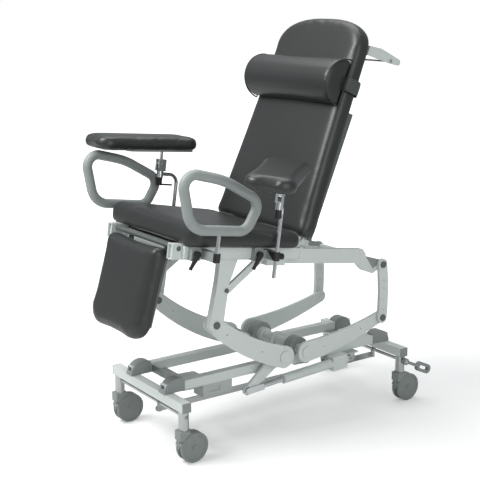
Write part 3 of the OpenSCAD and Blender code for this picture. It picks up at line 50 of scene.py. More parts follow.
CHASSIS_Z = KNEE_Z - KNEE_FWD * math.sin(TILT) + LEG_DROP * math.cos(TILT)
CHASSIS = Matrix.Translation((0, CHASSIS_Y, CHASSIS_Z)) @ Matrix.Rotation(-TILT, 4, "X")
SEAT_Z = 0.0733
BACK_LEAN = math.radians(14.7)
BACK = CHASSIS @ Matrix.Translation((0, 0.006, 0.076)) @ Matrix.Rotation(-BACK_LEAN, 4, "X")
LEG_LEAN = math.radians(8.6)
LEGREST = CHASSIS @ Matrix.Translation((0, -0.505, 0.058)) @ Matrix.Rotation(-LEG_LEAN, 4, "X")
PAD_POST_X = 0.2945
PAD_ARM = 0.076
# Per side: post ahead of the backrest line, turn outwards, swivel height, droop
PADS = {"left": (1, 0.154, math.radians(44), 0.216, math.radians(6)),
        "right": (-1, 0.212, 0.0, 0.237, math.radians(3))}


# Node helper and colours

def linear(hex_code):
    """An sRGB hex colour as linear RGBA."""
    s = np.array([int(hex_code[i:i + 2], 16) for i in (1, 3, 5)]) / 255
    lin = np.where(s <= 0.04045, s / 12.92, ((s + 0.055) / 1.055) ** 2.4)
    return (*lin.tolist(), 1.0)


def add(tree, kind, links=None, **settings):
    """Adds a node: settings are its properties or sockets, links are socket name to an output."""
    node = tree.nodes.new("ShaderNode" + kind)
    for name, value in settings.items():
        if hasattr(node, name):
            setattr(node, name, value)
        else:
            node.inputs[name.replace("_", " ")].default_value = value
    for name, source in (links or {}).items():
        tree.links.new(source, node.inputs[name])
    return node


def finish_material(name, base, rough, metallic=0.0, spread=0.06, mottle=18.0, grain=None,
                    depth=0.0002, strength=0.25, rough_spread=0.05):
    """A finish: a base colour that drifts a little, a roughness that drifts, and a grain in relief.

    mottle and grain are patterns per metre, depth is the relief in metres.
    """
    mat = bpy.data.materials.new(name)
    mat.use_nodes = True
    tree = mat.node_tree
    tree.nodes.clear()
    place = add(tree, "TexCoord")
    drift = add(tree, "TexNoise", {"Vector": place.outputs["Object"]}, Scale=mottle, Detail=4.0)
    low = tuple(c * (1 - spread) for c in linear(base)[:3]) + (1.0,)
    high = tuple(min(1.0, c * (1 + spread)) for c in linear(base)[:3]) + (1.0,)
    colour = add(tree, "Mix", {"Factor": drift.outputs["Fac"]}, data_type="RGBA")
    colour.inputs[6].default_value = low
    colour.inputs[7].default_value = high
    rough_map = add(tree, "MapRange", {"Value": drift.outputs["Fac"]})
    rough_map.inputs["To Min"].default_value = rough - rough_spread
    rough_map.inputs["To Max"].default_value = rough + rough_spread
    shader = add(tree, "BsdfPrincipled", {"Base Color": colour.outputs[2],
                                          "Roughness": rough_map.outputs["Result"]},
                 Metallic=metallic)
    if grain:
        relief = add(tree, "TexNoise", {"Vector": place.outputs["Object"]}, Scale=grain,
                     Detail=3.0)
        bump = add(tree, "Bump", {"Height": relief.outputs["Fac"]}, Strength=strength,
                   Distance=depth)
        tree.links.new(bump.outputs["Normal"], shader.inputs["Normal"])
    out = add(tree, "OutputMaterial", {"Surface": shader.outputs["BSDF"]})
    out.is_active_output = True
    return mat


def vinyl_material():
    """Coated vinyl upholstery: embossed cells about 2 mm wide, drawn coarse enough to show."""
    mat = finish_material("charcoal_vinyl", "#292b2b", 0.38, spread=0.04, mottle=5.0,
                          rough_spread=0.05)
    tree = mat.node_tree
    shader = next(n for n in tree.nodes if n.type == "BSDF_PRINCIPLED")
    place = next(n for n in tree.nodes if n.type == "TEX_COORD")
    cells = add(tree, "TexVoronoi", {"Vector": place.outputs["Object"]}, Scale=480.0,
                feature="DISTANCE_TO_EDGE")
    folds = add(tree, "TexNoise", {"Vector": place.outputs["Object"]}, Scale=9.0, Detail=2.0)
    small = add(tree, "Bump", {"Height": cells.outputs["Distance"]}, Strength=0.12,
                Distance=0.0005)
    large = add(tree, "Bump", {"Height": folds.outputs["Fac"], "Normal": small.outputs["Normal"]},
                Strength=0.05, Distance=0.003)
    tree.links.new(large.outputs["Normal"], shader.inputs["Normal"])
    return mat


# Powder coat on steel has a fine orange peel and a satin gloss
PAINT = finish_material("powder_coated_steel", "#c8cfcc", 0.32, spread=0.025, mottle=7.0,
                        grain=900.0, depth=0.0001, strength=0.2)
# Pin heads, the backrest's tubes and the leg rest's hinge have a dark grey coat
DARK_PAINT = finish_material("dark_coated_casting", "#565c5a", 0.42, spread=0.05, mottle=20.0,
                             grain=700.0, strength=0.25)
# Moulded polypropylene has a spark-eroded texture that dulls it
GREY_PLASTIC = finish_material("moulded_grey_polypropylene", "#858b89", 0.5, spread=0.04,
                               mottle=30.0, grain=1100.0, strength=0.35)
# The control box is a paler moulding with a fine texture
BOX_PLASTIC = finish_material("moulded_light_grey_abs", "#a8aeab", 0.45, spread=0.03,
                              mottle=20.0, grain=1300.0, strength=0.25)
# Integral-skin foam is smooth and matt, with slow shade drift
HOOP_FOAM = finish_material("integral_skin_foam", "#8f9694", 0.48, spread=0.04, mottle=14.0,
                            grain=500.0, depth=0.00015, strength=0.2)
# Castor treads are dark grey thermoplastic rubber
TREAD = finish_material("castor_tread_rubber", "#7f8583", 0.6, spread=0.08, mottle=60.0,
                        grain=1500.0, strength=0.4)
# Polished chrome plate with slight waviness
CHROME = finish_material("chrome_plated_steel", "#d9dcdd", 0.13, metallic=1.0, spread=0.03,
                         mottle=60.0, rough_spread=0.05)
# Zinc plating is duller than chrome
ZINC = finish_material("zinc_plated_steel", "#b9bdbb", 0.3, metallic=1.0, spread=0.06,
                       mottle=90.0, rough_spread=0.08)
BLACK_PLASTIC = finish_material("black_moulded_nylon", "#161717", 0.4, spread=0.1, mottle=40.0,
                                grain=1200.0, strength=0.3)
# The bearing blocks and rail clamps are cast, with a coat greyer than the frame's
CASTING = finish_material("coated_grey_casting", "#8b918f", 0.4, spread=0.05, mottle=24.0,
                        grain=600.0, strength=0.25)
# The boards behind the cushions are plywood whose dark colour is painted shade, for the dark under
# the seat's front; its grain and tone drift still show
PLYWOOD_PAINTED_SHADE = finish_material("plywood_dark_painted_shade", "#3c3835", 0.62, spread=0.14, mottle=35.0,
                          grain=260.0, depth=0.0003, strength=0.4)
# The bolster's strap is woven webbing, rougher than the vinyl and a little paler
WEBBING = finish_material("woven_strap_webbing", "#454948", 0.75, spread=0.1, mottle=120.0,
                          grain=900.0, depth=0.0004, strength=0.5)
VINYL = vinyl_material()

FINISHES = [
    (PAINT, ["base_rails", "base_cross_members", "front_torsion_tube", "front_arms",
                      "rear_torsion_tube", "rear_arms", "rear_cross_tube", "rear_links",
                      "near_actuator", "middle_actuator", "chassis_beams", "front_legs",
                      "seat_frame", "backrest_frame", "accessory_rails"]),
    (DARK_PAINT, ["front_knee_pins", "legrest_frame"]),
    (CASTING, ["bearing_blocks", "hoop_clamp_left", "hoop_clamp_right",
                           "pad_clamp_left", "pad_clamp_right"]),
    (BOX_PLASTIC, ["control_box"]),
    (GREY_PLASTIC, ["base_end_caps", "brake_pedals"]
             + [f"castor_fork_{a}_{b}" for a in ("front", "rear") for b in ("left", "right")]),
    (HOOP_FOAM, ["arm_hoop_left", "arm_hoop_right"]),
    (TREAD, [f"castor_wheel_{a}_{b}" for a in ("front", "rear")
                      for b in ("left", "right")]),
    (ZINC, ["castor_sockets", "base_brackets", "brake_shaft_front", "brake_shaft_rear",
                    "brake_link_bar"]),
    (CHROME, ["near_piston", "middle_piston", "paper_rod", "pad_post_left",
                        "pad_post_right", "pad_block_left", "pad_block_right"]),
    (BLACK_PLASTIC, ["legrest_knob", "hoop_lever_left", "hoop_lever_right",
                              "pad_lever_left", "pad_lever_right"]),
    # The boards' dark plywood colour is painted shade
    (PLYWOOD_PAINTED_SHADE, ["seat_board", "backrest_board"]),
]
for material, names in FINISHES:
    for name in names:
        NODES[name].data.materials.clear()
        NODES[name].data.materials.append(material)


def face_centres(obj):
    """Centres of a mesh's faces, as an array."""
    mesh = obj.data
    centres = np.empty(len(mesh.polygons) * 3)
    mesh.polygons.foreach_get("center", centres)
    return centres.reshape(-1, 3)


def second_finish(node, material, choose):
    """Gives a second finish to the faces that choose() picks from an (n, 3) array of centres."""
    obj = NODES[node]
    obj.data.materials.append(material)
    picked = choose(face_centres(obj))
    obj.data.polygons.foreach_set("material_index", picked.astype(np.int32))


def placed(points, matrix):
    """Points carried by a 4x4 matrix."""
    m = np.array(matrix)
    return points @ m[:3, :3].T + m[:3, 3]


def in_chassis(points):
    """World points in the chassis frame."""
    return placed(points, CHASSIS.inverted())


def in_back(points):
    """World points in the backrest's frame."""
    return placed(points, BACK.inverted())


# Where a second finish starts: |X| of the clamps' post holders and of pin heads, the chassis
# height at which a hoop's post begins, and the end of the beams
HOOP_HOLDER_X, PAD_HOLDER_X = 0.312, 0.281
LINK_HEAD_X, LEG_HEAD_X = 0.2003, 0.2132
HOOP_POST_TOP, RIGHT_HOOP_DROP = 0.1205, 0.012
TUBES_FROM, TUBES_TO = 0.06, 0.62
BEAM_CAP_Y, BEAM_INNER_X = 0.3648, 0.1865

for side in ("left", "right"):
    drop = 0.0 if side == "left" else RIGHT_HOOP_DROP
    second_finish("arm_hoop_" + side, CHROME,
                  lambda p, d=drop: in_chassis(p)[:, 2] < HOOP_POST_TOP - d)
    base = PADS[side][3] - 0.0002
    second_finish("pad_block_" + side, BLACK_PLASTIC,
                  lambda p, b=base: in_chassis(p)[:, 2] < b)
    # Post holders stand out beyond the jaws in black nylon
    second_finish("hoop_clamp_" + side, BLACK_PLASTIC,
                  lambda p: np.abs(p[:, 0]) > HOOP_HOLDER_X)
    second_finish("pad_clamp_" + side, BLACK_PLASTIC, lambda p: np.abs(p[:, 0]) > PAD_HOLDER_X)
# Heads of the pins outside the rear links and the front legs
for node in ("rear_cross_tube", "rear_links"):
    second_finish(node, DARK_PAINT, lambda p: np.abs(p[:, 0]) > LINK_HEAD_X)
second_finish("front_legs", DARK_PAINT, lambda p: np.abs(p[:, 0]) > LEG_HEAD_X)
# The backrest's tubes behind its board are dark; only the roll brackets have the pale coat
second_finish("backrest_frame", DARK_PAINT,
              lambda p: (in_back(p)[:, 2] < TUBES_TO) & (in_back(p)[:, 2] > TUBES_FROM))
# End caps of the chassis beams are moulded
second_finish("chassis_beams", GREY_PLASTIC,
              lambda p: (in_chassis(p)[:, 1] > BEAM_CAP_Y) & (np.abs(p[:, 0]) < BEAM_INNER_X)
              & (in_chassis(p)[:, 2] > 0.0))


# Mesh building

def mesh_object(name, points, faces, material, smooth=True):
    """A mesh object at the origin from world points and faces."""
    mesh = bpy.data.meshes.new(name)
    mesh.from_pydata(points.tolist(), [], faces.tolist() if hasattr(faces, "tolist") else faces)
    mesh.validate()
    if smooth:
        mesh.polygons.foreach_set("use_smooth", [True] * len(mesh.polygons))
    mesh.update()
    obj = bpy.data.objects.new(name, mesh)
    bpy.context.scene.collection.objects.link(obj)
    mesh.materials.append(material)
    return obj


def ring_faces(rings, around, close=True):
    """Quads of a grid of rings, wrapped around; close adds a fan cap at each end."""
    i, j = np.meshgrid(np.arange(rings - 1), np.arange(around), indexing="ij")
    k = (j + 1) % around
    quads = np.stack([i * around + j, i * around + k, (i + 1) * around + k,
                      (i + 1) * around + j], axis=-1).reshape(-1, 4).tolist()
    if close:
        quads.append(list(range(around))[::-1])
        quads.append(list(range((rings - 1) * around, rings * around)))
    return quads


def rounded_outline(w, l, r0, r1, bow, steps=10):
    """A rounded rectangle, counter-clockwise: r0 rounds the -Y corners and r1 the +Y ones.

    Each side is drawn in by bow times the sine of its share of the way.
    """
    corners = [(w / 2 - r1, l / 2 - r1, r1, 0), (-w / 2 + r1, l / 2 - r1, r1, 90),
               (-w / 2 + r0, -l / 2 + r0, r0, 180), (w / 2 - r0, -l / 2 + r0, r0, 270)]
    points = []
    arcs = []
    for x, y, r, a in corners:
        t = np.radians(a + np.linspace(0, 90, steps))
        arcs.append(np.stack([x + r * np.cos(t), y + r * np.sin(t)], axis=1))
    for n, arc in enumerate(arcs):
        points.append(arc)
        p, q = arc[-1], arcs[(n + 1) % 4][0]
        d = q - p
        inward = np.array([-d[1], d[0]]) / np.linalg.norm(d)
        s = np.linspace(0, 1, 12)[1:-1, None]
        points.append(p + d * s + inward * bow * np.sin(np.pi * s))
    return np.concatenate(points)


def inward_normals(outline):
    """Unit normals that point into a counter-clockwise outline."""
    d = np.roll(outline, -1, axis=0) - np.roll(outline, 1, axis=0)
    n = np.stack([-d[:, 1], d[:, 0]], axis=1)
    return n / np.linalg.norm(n, axis=1, keepdims=True)


def cushion_points(outline, t, edge, crown, slope=0.0, inner=12):
    """Rings of a boxed cushion, from its underside to the middle of its face.

    The side is a quarter round at the foot, a wall that swells a little and a soft quarter
    round of radius edge at the face. Inside it the face rises by crown as a sine. slope changes
    the thickness along Y.
    """
    normals = inward_normals(outline)
    foot = 0.010
    profile = []
    for a in np.radians(np.linspace(0, 90, 5)):
        profile.append((foot * (1 - np.sin(a)), foot * (1 - np.cos(a))))
    for s in np.linspace(0.15, 1, 6):
        profile.append((-0.002 * np.sin(np.pi * s), foot + (t - edge - foot) * s))
    for a in np.radians(np.linspace(12, 90, 8)):
        profile.append((edge * (1 - np.cos(a)), t - edge + edge * np.sin(a)))
    rings = []
    for d, z in profile:
        ring = outline + normals * d
        rings.append(np.column_stack([ring, np.full(len(ring), z)]))
    last = rings[-1]
    middle = outline.mean(axis=0)
    for s in np.linspace(0, 1, inner + 1)[1:]:
        scale = 1 - 0.985 * s
        flat = middle + (last[:, :2] - middle) * scale
        lift = crown * np.sin(np.pi / 2 * s)
        rings.append(np.column_stack([flat, np.full(len(flat), t + lift)]))
    base = rings[0]
    under = [np.column_stack([middle + (base[:, :2] - middle) * s, base[:, 2]])
             for s in (0.02, 0.5, 0.9)]
    points = np.stack(under + rings)
    points[..., 2] *= 1 + slope * points[..., 1]
    return points


def cushion(name, outline, t, edge, crown, matrix, slope=0.0):
    """A boxed cushion as a closed mesh, carried to its place."""
    grid = cushion_points(outline, t, edge, crown, slope=slope)
    faces = ring_faces(grid.shape[0], grid.shape[1])
    return mesh_object(name, placed(grid.reshape(-1, 3), matrix), faces, VINYL)


def lathe(name, profile, matrix, material, around=48):
    """A turned piece: (radius, height) pairs spun round the local Z axis."""
    profile = np.asarray(profile, float)
    a = np.linspace(0, 2 * np.pi, around, endpoint=False)
    rings = np.stack([profile[:, None, 0] * np.cos(a), profile[:, None, 0] * np.sin(a),
                      np.repeat(profile[:, 1:2], around, axis=1)], axis=-1)
    return mesh_object(name, placed(rings.reshape(-1, 3), matrix),
                       ring_faces(len(profile), around), material)


# A cushion with more faces than this after its remesh is fine enough without a subdivision
SPLIT_LIMIT = 23000


def puff(obj, voxel, cap, pressure=4.0):
    """Blows a cushion up as cloth: remesh, 20 steps under pressure, displacement capped.

    Smoothing then takes out the remesh's steps.
    """
    scene = bpy.context.scene
    bpy.context.view_layer.objects.active = obj
    remesh = obj.modifiers.new("skin", "REMESH")
    remesh.mode = "VOXEL"
    remesh.voxel_size = voxel
    remesh.use_smooth_shade = True
    bake(obj)
    mesh = obj.data
    start = vertices(mesh)
    cloth = obj.modifiers.new("fill", "CLOTH")
    cloth.settings.use_pressure = True
    cloth.settings.uniform_pressure_force = pressure
    cloth.settings.effector_weights.gravity = 0
    cloth.settings.tension_stiffness = 30
    cloth.settings.compression_stiffness = 30
    cloth.settings.shear_stiffness = 15
    cloth.settings.bending_stiffness = 2
    for step in range(1, 21):
        scene.frame_set(step)
    bake(obj)
    moved = vertices(obj.data) - start
    length = np.linalg.norm(moved, axis=1, keepdims=True)
    moved *= np.minimum(1, cap / np.maximum(length, 1e-9))
    obj.data.vertices.foreach_set("co", (start + moved).ravel())
    obj.data.update()
    scene.frame_set(1)
    relax = obj.modifiers.new("relax", "SMOOTH")
    relax.factor, relax.iterations = 0.5, 12
    if len(obj.data.polygons) < SPLIT_LIMIT:
        obj.modifiers.new("split", "SUBSURF").levels = 1
    bake(obj)


def bake(obj):
    """Applies the modifiers of an object to its mesh."""
    graph = bpy.context.evaluated_depsgraph_get()
    mesh = bpy.data.meshes.new_from_object(obj.evaluated_get(graph))
    old = obj.data
    materials = list(old.materials)
    obj.modifiers.clear()
    obj.data = mesh
    if not mesh.materials:
        for m in materials:
            mesh.materials.append(m)
    bpy.data.meshes.remove(old)
    mesh.polygons.foreach_set("use_smooth", [True] * len(mesh.polygons))


def vertices(mesh):
    """The vertex positions of a mesh, as an array."""
    co = np.empty(len(mesh.vertices) * 3)
    mesh.vertices.foreach_get("co", co)
    return co.reshape(-1, 3)


# Seat cushion
SEAT_W, SEAT_L = 0.574, 0.468
SEAT_FRONT, SEAT_REAR = 0.072, 0.048
seat_mid = -(0.035 + SEAT_L / 2)
seat_t = (SEAT_FRONT + SEAT_REAR) / 2
seat_slope = (SEAT_REAR - SEAT_FRONT) / seat_t / SEAT_L
seat_matrix = CHASSIS @ Matrix.Translation((0, seat_mid, SEAT_Z))
seat = cushion("seat_cushion_cover", rounded_outline(SEAT_W - 0.001, SEAT_L - 0.001, 0.046, 0.026,
                                                     0.003),
               seat_t - 0.001, 0.017, 0.003, seat_matrix, slope=seat_slope)
puff(seat, 0.006, 0.005)
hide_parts("seat_cushion")
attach(seat, "chassis")

# Backrest cushion: arched top, sides that close in upwards
BACK_L, BACK_W, BACK_TOP_W, ARCH, BACK_T = 0.820, 0.556, 0.486, 0.120, 0.063
BACK_FACE, BACK_FOOT = 0.0517, 0.0233
ARCH_POWER = 2.5


def back_outline():
    """The backrest from behind its hinge line: a squared arch over two straight sides.

    The arch is an ellipse whose sine and cosine are raised to 2 / ARCH_POWER, keeping their sign.
    """
    shoulder = BACK_L / 2 - ARCH
    half, foot = BACK_TOP_W / 2, BACK_W / 2
    t = np.radians(np.linspace(0, 180, 44))
    c, q = np.cos(t), 2 / ARCH_POWER
    arch = np.stack([half * np.sign(c) * np.abs(c) ** q,
                     shoulder + ARCH * np.abs(np.sin(t)) ** q], axis=1)
    s = np.linspace(0, 1, 22)[1:-1]
    down = np.stack([-half - (foot - half) * s + 0.003 * np.sin(np.pi * s),
                     shoulder + (-BACK_L / 2 + 0.026 - shoulder) * s], axis=1)
    c = np.radians(np.linspace(180, 270, 10))
    r = 0.026
    left = np.stack([-foot + r + r * np.cos(c), -BACK_L / 2 + r + r * np.sin(c)], axis=1)
    c = np.radians(np.linspace(270, 360, 10))
    right = np.stack([foot - r + r * np.cos(c), -BACK_L / 2 + r + r * np.sin(c)], axis=1)
    base = np.linspace(left[-1], right[0], 16)[1:-1]
    up = down[::-1] * (-1, 1)
    return np.concatenate([arch, down, left, base, right, up])


back_matrix = (BACK @ Matrix.Translation((0, BACK_T - BACK_FACE, BACK_FOOT + BACK_L / 2))
               @ Matrix.Rotation(math.radians(90), 4, "X"))
back = cushion("backrest_cover", back_outline() * 0.998, BACK_T - 0.003, 0.018, 0.003, back_matrix)
puff(back, 0.006, 0.005)
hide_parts("backrest_cushion")
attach(back, "backrest")

# Leg rest cushion
LEG_W, LEG_L, LEG_T, LEG_GAP, LEG_FACE = 0.346, 0.326, 0.060, 0.014, 0.054
leg_matrix = (LEGREST @ Matrix.Translation((0, LEG_T - LEG_FACE, -LEG_GAP - LEG_L / 2))
              @ Matrix.Rotation(math.radians(90), 4, "X"))
leg = cushion("legrest_cover", rounded_outline(LEG_W - 0.001, LEG_L - 0.001, 0.070, 0.022, 0.003),
              LEG_T - 0.003, 0.017, 0.002, leg_matrix)
puff(leg, 0.005, 0.005)
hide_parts("legrest_cushion")
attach(leg, "legrest")

# Head bolster: a half round, sewn end panels and a strap round the backrest
BOLSTER_L, BOLSTER_H, BOLSTER_D, BOLSTER_UP = 0.490, 0.170, 0.090, 0.565
STRAP_W, STRAP_T, STRAP_BEND = 0.050, 0.003, 0.009
bolster_matrix = BACK @ Matrix.Translation((0, -BACK_FACE - 0.0003, BACK_FOOT + BOLSTER_UP))


def bolster_section():
    """The bolster's outline in (Y, Z): half an ellipse closed by a flat back."""
    t = np.radians(np.linspace(-90, 90, 40))
    curve = np.stack([-BOLSTER_D * np.cos(t), BOLSTER_H / 2 * np.sin(t)], axis=1)
    flat = np.stack([np.zeros(14), np.linspace(BOLSTER_H / 2, -BOLSTER_H / 2, 16)[1:-1]], axis=1)
    return np.concatenate([curve, flat])


def bolster_rings():
    """The section carried along X; each end is a flat panel with a 4 mm quarter round edge."""
    section = bolster_section()
    middle = np.array([-BOLSTER_D * 0.42, 0.0])
    half, edge = BOLSTER_L / 2, 0.004
    a = np.radians(np.linspace(0, 90, 5))
    end = np.stack([half - edge + edge * np.sin(a), 1 - edge * (1 - np.cos(a)) / 0.06])
    panel = np.array([[half, half], [0.6, 0.1]])
    right = np.concatenate([end, panel], axis=1)
    left = right[:, ::-1] * [[-1], [1]]
    x, share = np.concatenate([left, [np.linspace(-0.2, 0.2, 40), np.ones(40)], right], axis=1)
    ring = middle + (section - middle) * share[:, None, None]
    return np.concatenate([np.repeat(x[:, None, None], len(section), axis=1), ring], axis=2)


bolster_grid = bolster_rings()
bolster = mesh_object("head_bolster_cover", placed(bolster_grid.reshape(-1, 3), bolster_matrix),
                      ring_faces(*bolster_grid.shape[:2]), VINYL)
puff(bolster, 0.005, 0.005)
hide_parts("head_bolster")
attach(bolster, "bolster")


def strap_points():
    """The strap's loop: it hugs the cushion's sides, then runs in to the board's corners.

    Each corner of the plan is rounded by a quadratic curve between points STRAP_BEND off it.
    """
    low = BOLSTER_UP - STRAP_W
    side = BACK_W / 2 - (BACK_W - BACK_TOP_W) / 2 * low / (BACK_L - ARCH) + 0.003
    depth, turn, rear = BACK_T + 0.010 + 0.006, BACK_T * 0.8, side - 0.026
    corners = np.array([[side, 0.0], [side, turn], [rear, depth], [-rear, depth], [-side, turn],
                        [-side, 0.0]])
    plan = []
    u = np.linspace(0, 1, 7)[:, None]
    for n, corner in enumerate(corners):
        before = corners[n - 1] - corner
        after = corners[(n + 1) % len(corners)] - corner
        a = corner + STRAP_BEND * before / np.linalg.norm(before)
        b = corner + STRAP_BEND * after / np.linalg.norm(after)
        plan.append(a * (1 - u) ** 2 + corner * 2 * u * (1 - u) + b * u ** 2)
    plan = np.concatenate(plan)
    n = inward_normals(plan)
    z = np.linspace(-STRAP_W / 2, STRAP_W / 2, 5)
    edge = STRAP_T * 0.35 * (np.abs(z) / (STRAP_W / 2)) ** 6
    outer = [np.column_stack([plan - n * (STRAP_T - e), np.full(len(plan), h)])
             for h, e in zip(z, edge)]
    inner = [np.column_stack([plan - n * e, np.full(len(plan), h)])
             for h, e in zip(z[::-1], edge[::-1])]
    return np.stack(outer + inner)


def band(name, grid, matrix, material):
    """A closed band: a grid of rings wrapped both ways."""
    rings, around = grid.shape[:2]
    i, j = np.meshgrid(np.arange(rings), np.arange(around), indexing="ij")
    i2, j2 = (i + 1) % rings, (j + 1) % around
    faces = np.stack([i * around + j, i * around + j2, i2 * around + j2, i2 * around + j],
                     axis=-1).reshape(-1, 4)
    return mesh_object(name, placed(grid.reshape(-1, 3), matrix), faces, material)


def piping(name, loop, radius, matrix, material, around=10):
    """A cord sewn along a closed loop of points: circles square to the loop, wrapped both ways."""
    along = np.roll(loop, -1, axis=0) - np.roll(loop, 1, axis=0)
    along /= np.linalg.norm(along, axis=1, keepdims=True)
    across = np.cross(along, np.cross(loop - loop.mean(axis=0), along))
    across /= np.linalg.norm(across, axis=1, keepdims=True)
    up = np.cross(along, across)
    a = np.linspace(0, 2 * np.pi, around, endpoint=False)[None, :, None]
    grid = loop[:, None] + radius * (np.cos(a) * across[:, None] + np.sin(a) * up[:, None])
    return band(name, grid, matrix, material)


for end, x in (("left", BOLSTER_L / 2 - 0.002), ("right", -BOLSTER_L / 2 + 0.002)):
    section = bolster_section()
    loop = np.column_stack([np.full(len(section), x), section])
    cord = piping("bolster_piping_" + end, loop, 0.0028, bolster_matrix, VINYL)
    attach(cord, "bolster")

strap = band("bolster_strap", strap_points(), bolster_matrix, WEBBING)
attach(strap, "bolster")

# Arm pads: cushion, base plate and stem on each side
PAD_L, PAD_W, PAD_T = 0.420, 0.168, 0.046
PAD_OFFSET, PLATE_AHEAD, TILT_UP, BOSS_H, STEM = 0.088, 0.035, 0.026, 0.024, 0.078
PLATE_T = 0.008


def pad_matrix(side):
    """The frame of a pad on its tilt pin: +X along the pad, +Z up through it."""
    sign, fwd, turn, height, droop = PADS[side]
    z = height + BOSS_H + 0.0003 + TILT_UP
    place = (sign * (PAD_POST_X + PAD_ARM * math.sin(turn)), -fwd - PAD_ARM * math.cos(turn), z)
    heading = Matrix.Rotation(sign * turn - math.pi / 2, 4, "Z")
    return CHASSIS @ Matrix.Translation(place) @ heading @ Matrix.Rotation(droop, 4, "Y")


for side in PADS:
    base = pad_matrix(side)
    rise = STEM - TILT_UP
    top = base @ Matrix.Translation((PAD_OFFSET, 0, rise + PLATE_T))
    pad = cushion("arm_pad_cover_" + side, rounded_outline(PAD_L - 0.001, PAD_W - 0.001, 0.046,
                                                           0.046, 0.003),
                  PAD_T - 0.003, 0.017, 0.002, top)
    puff(pad, 0.004, 0.005)
    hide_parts("arm_pad_" + side)
    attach(pad, "arm_pad_" + side)

    def plate_grid():
        """A plate with rounded corners and broken edges."""
        plan = rounded_outline(PAD_L * 0.66, PAD_W * 0.8, 0.02, 0.02, 0.0, steps=6)
        n = inward_normals(plan)
        heights = [(0.001, 0.0), (0.0, 0.001), (0.0, PLATE_T)]
        rings = [np.column_stack([plan * s, np.zeros(len(plan))]) for s in (0.02, 0.6)]
        rings += [np.column_stack([plan + n * d, np.full(len(plan), h)]) for d, h in heights]
        rings += [np.column_stack([plan * s, np.full(len(plan), PLATE_T)]) for s in (0.6, 0.02)]
        return np.stack(rings)

    grid = plate_grid()
    plate = mesh_object("arm_pad_plate_" + side,
                        placed(grid.reshape(-1, 3),
                               base @ Matrix.Translation((PLATE_AHEAD, 0, rise))),
                        ring_faces(*grid.shape[:2]), GREY_PLASTIC, smooth=False)
    stem = lathe("arm_pad_stem_" + side,
                 [(0.0005, -0.012), (0.004, -0.012), (0.0055, -0.010), (0.0055, rise - 0.006),
                  (0.0065, rise - 0.004), (0.015, rise - 0.003), (0.015, rise), (0.0005, rise)],
                 base, CHROME, around=32)
    eye = lathe("arm_pad_eye_" + side,
                [(0.0005, -0.006), (0.011, -0.006), (0.012, -0.005), (0.012, 0.005),
                 (0.011, 0.006), (0.0005, 0.006)],
                base @ Matrix.Rotation(math.pi / 2, 4, "X"), CHROME, around=32)
    pin = lathe("arm_pad_pin_" + side,
                [(0.0005, -0.0155), (0.004, -0.0155), (0.004, 0.0155), (0.0005, 0.0155)],
                base @ Matrix.Rotation(math.pi / 2, 4, "X"), ZINC, around=24)
    for piece, slot in ((plate, "grey_plastic"), (stem, "chrome"), (eye, "chrome"),
                        (pin, "zinc_steel")):
        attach(piece, "arm_pad_" + side)

# Floor, backdrop, light and camera

# The floor glows to the camera from To Min at From Min metres off, up to To Max at From Max
FLOOR_GLOW = {"From Min": 1.0, "From Max": 3.5, "To Min": 0.30, "To Max": 1.0}


def floor_material():
    """Pale floor that keeps the object's shadow and reads white away from it.

    To the camera it glows, by an amount that grows with the distance from the object.
    """
    mat = bpy.data.materials.new("white_studio_floor")
    mat.use_nodes = True
    tree = mat.node_tree
    tree.nodes.clear()
    path = add(tree, "LightPath")
    matt = add(tree, "BsdfDiffuse", Color=linear("#dcdcdc"))
    place = add(tree, "TexCoord")
    away = add(tree, "VectorMath", {0: place.outputs["Object"]}, operation="LENGTH")
    rise = add(tree, "MapRange", {"Value": away.outputs["Value"]})
    for socket, value in FLOOR_GLOW.items():
        rise.inputs[socket].default_value = value
    glow = add(tree, "Emission", {"Strength": rise.outputs["Result"]}, Color=(1, 1, 1, 1))
    none = add(tree, "Emission", Color=(0, 0, 0, 1), Strength=0.0)
    seen = add(tree, "MixShader", {"Fac": path.outputs["Is Camera Ray"], 1: none.outputs[0],
                                   2: glow.outputs[0]})
    both = add(tree, "AddShader", {0: matt.outputs[0], 1: seen.outputs[0]})
    add(tree, "OutputMaterial", {"Surface": both.outputs[0]})
    return mat


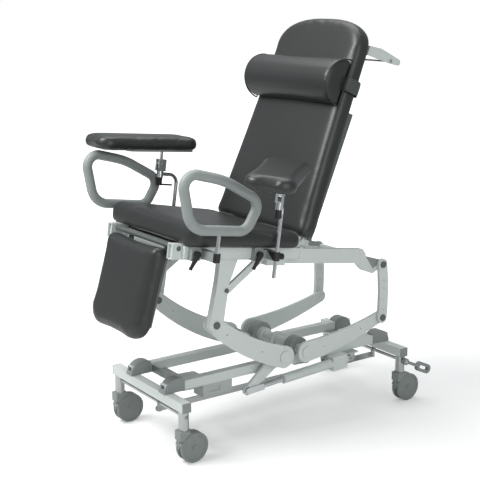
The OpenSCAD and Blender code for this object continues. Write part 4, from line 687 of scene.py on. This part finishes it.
floor = mesh_object("studio_floor", np.array([[-30, -30, 0], [30, -30, 0], [30, 30, 0],
                                              [-30, 30, 0.0]]), [[0, 1, 2, 3]],
                    floor_material(), smooth=False)


def white_world():
    """White for the camera; softer for the light that falls on the chair and for reflections."""
    world = bpy.data.worlds.new("studio")
    bpy.context.scene.world = world
    world.use_nodes = True
    tree = world.node_tree
    tree.nodes.clear()
    path = add(tree, "LightPath")
    shown = add(tree, "Background", Color=(1, 1, 1, 1), Strength=1.0)
    light = add(tree, "Background", Color=(0.95, 0.98, 1, 1), Strength=0.42)
    seen = add(tree, "MixShader", {"Fac": path.outputs["Is Camera Ray"], 1: light.outputs[0],
                                   2: shown.outputs[0]})
    add(tree, "OutputWorld", {"Surface": seen.outputs[0]})


white_world()


def softbox(name, place, target, size, power):
    """A square area lamp turned to a point."""
    lamp = bpy.data.lights.new(name, "AREA")
    lamp.size = size
    lamp.energy = power
    obj = bpy.data.objects.new(name, lamp)
    obj.location = place
    obj.rotation_euler = (Vector(target) - Vector(place)).to_track_quat("-Z", "Y").to_euler()
    bpy.context.scene.collection.objects.link(obj)


softbox("key_softbox", (-0.6, -2.6, 3.6), (0, 0, 0.7), 1.8, 150)
softbox("fill_softbox", (3.6, -0.6, 1.8), (0, 0, 0.7), 2.4, 42)
softbox("top_softbox", (-0.8, 0.4, 3.8), (0, 0, 0.7), 2.6, 60)

# The photograph's view: turned 54.68 degrees, 12.70 degrees above the horizon
VIEW_TURN, VIEW_UP = math.radians(54.68), math.radians(12.70)
camera_data = bpy.data.cameras.new("photo_camera")
camera_data.lens = 78.5
camera_data.sensor_width = 36
camera = bpy.data.objects.new("photo_camera", camera_data)
camera.location = (3.070, -2.287, 1.544)
look = Vector((-math.sin(VIEW_TURN) * math.cos(VIEW_UP),
               math.cos(VIEW_TURN) * math.cos(VIEW_UP), -math.sin(VIEW_UP)))
camera.rotation_euler = look.to_track_quat("-Z", "Y").to_euler()
bpy.context.scene.collection.objects.link(camera)
bpy.context.scene.camera = camera
bpy.context.scene.view_settings.view_transform = "Standard"
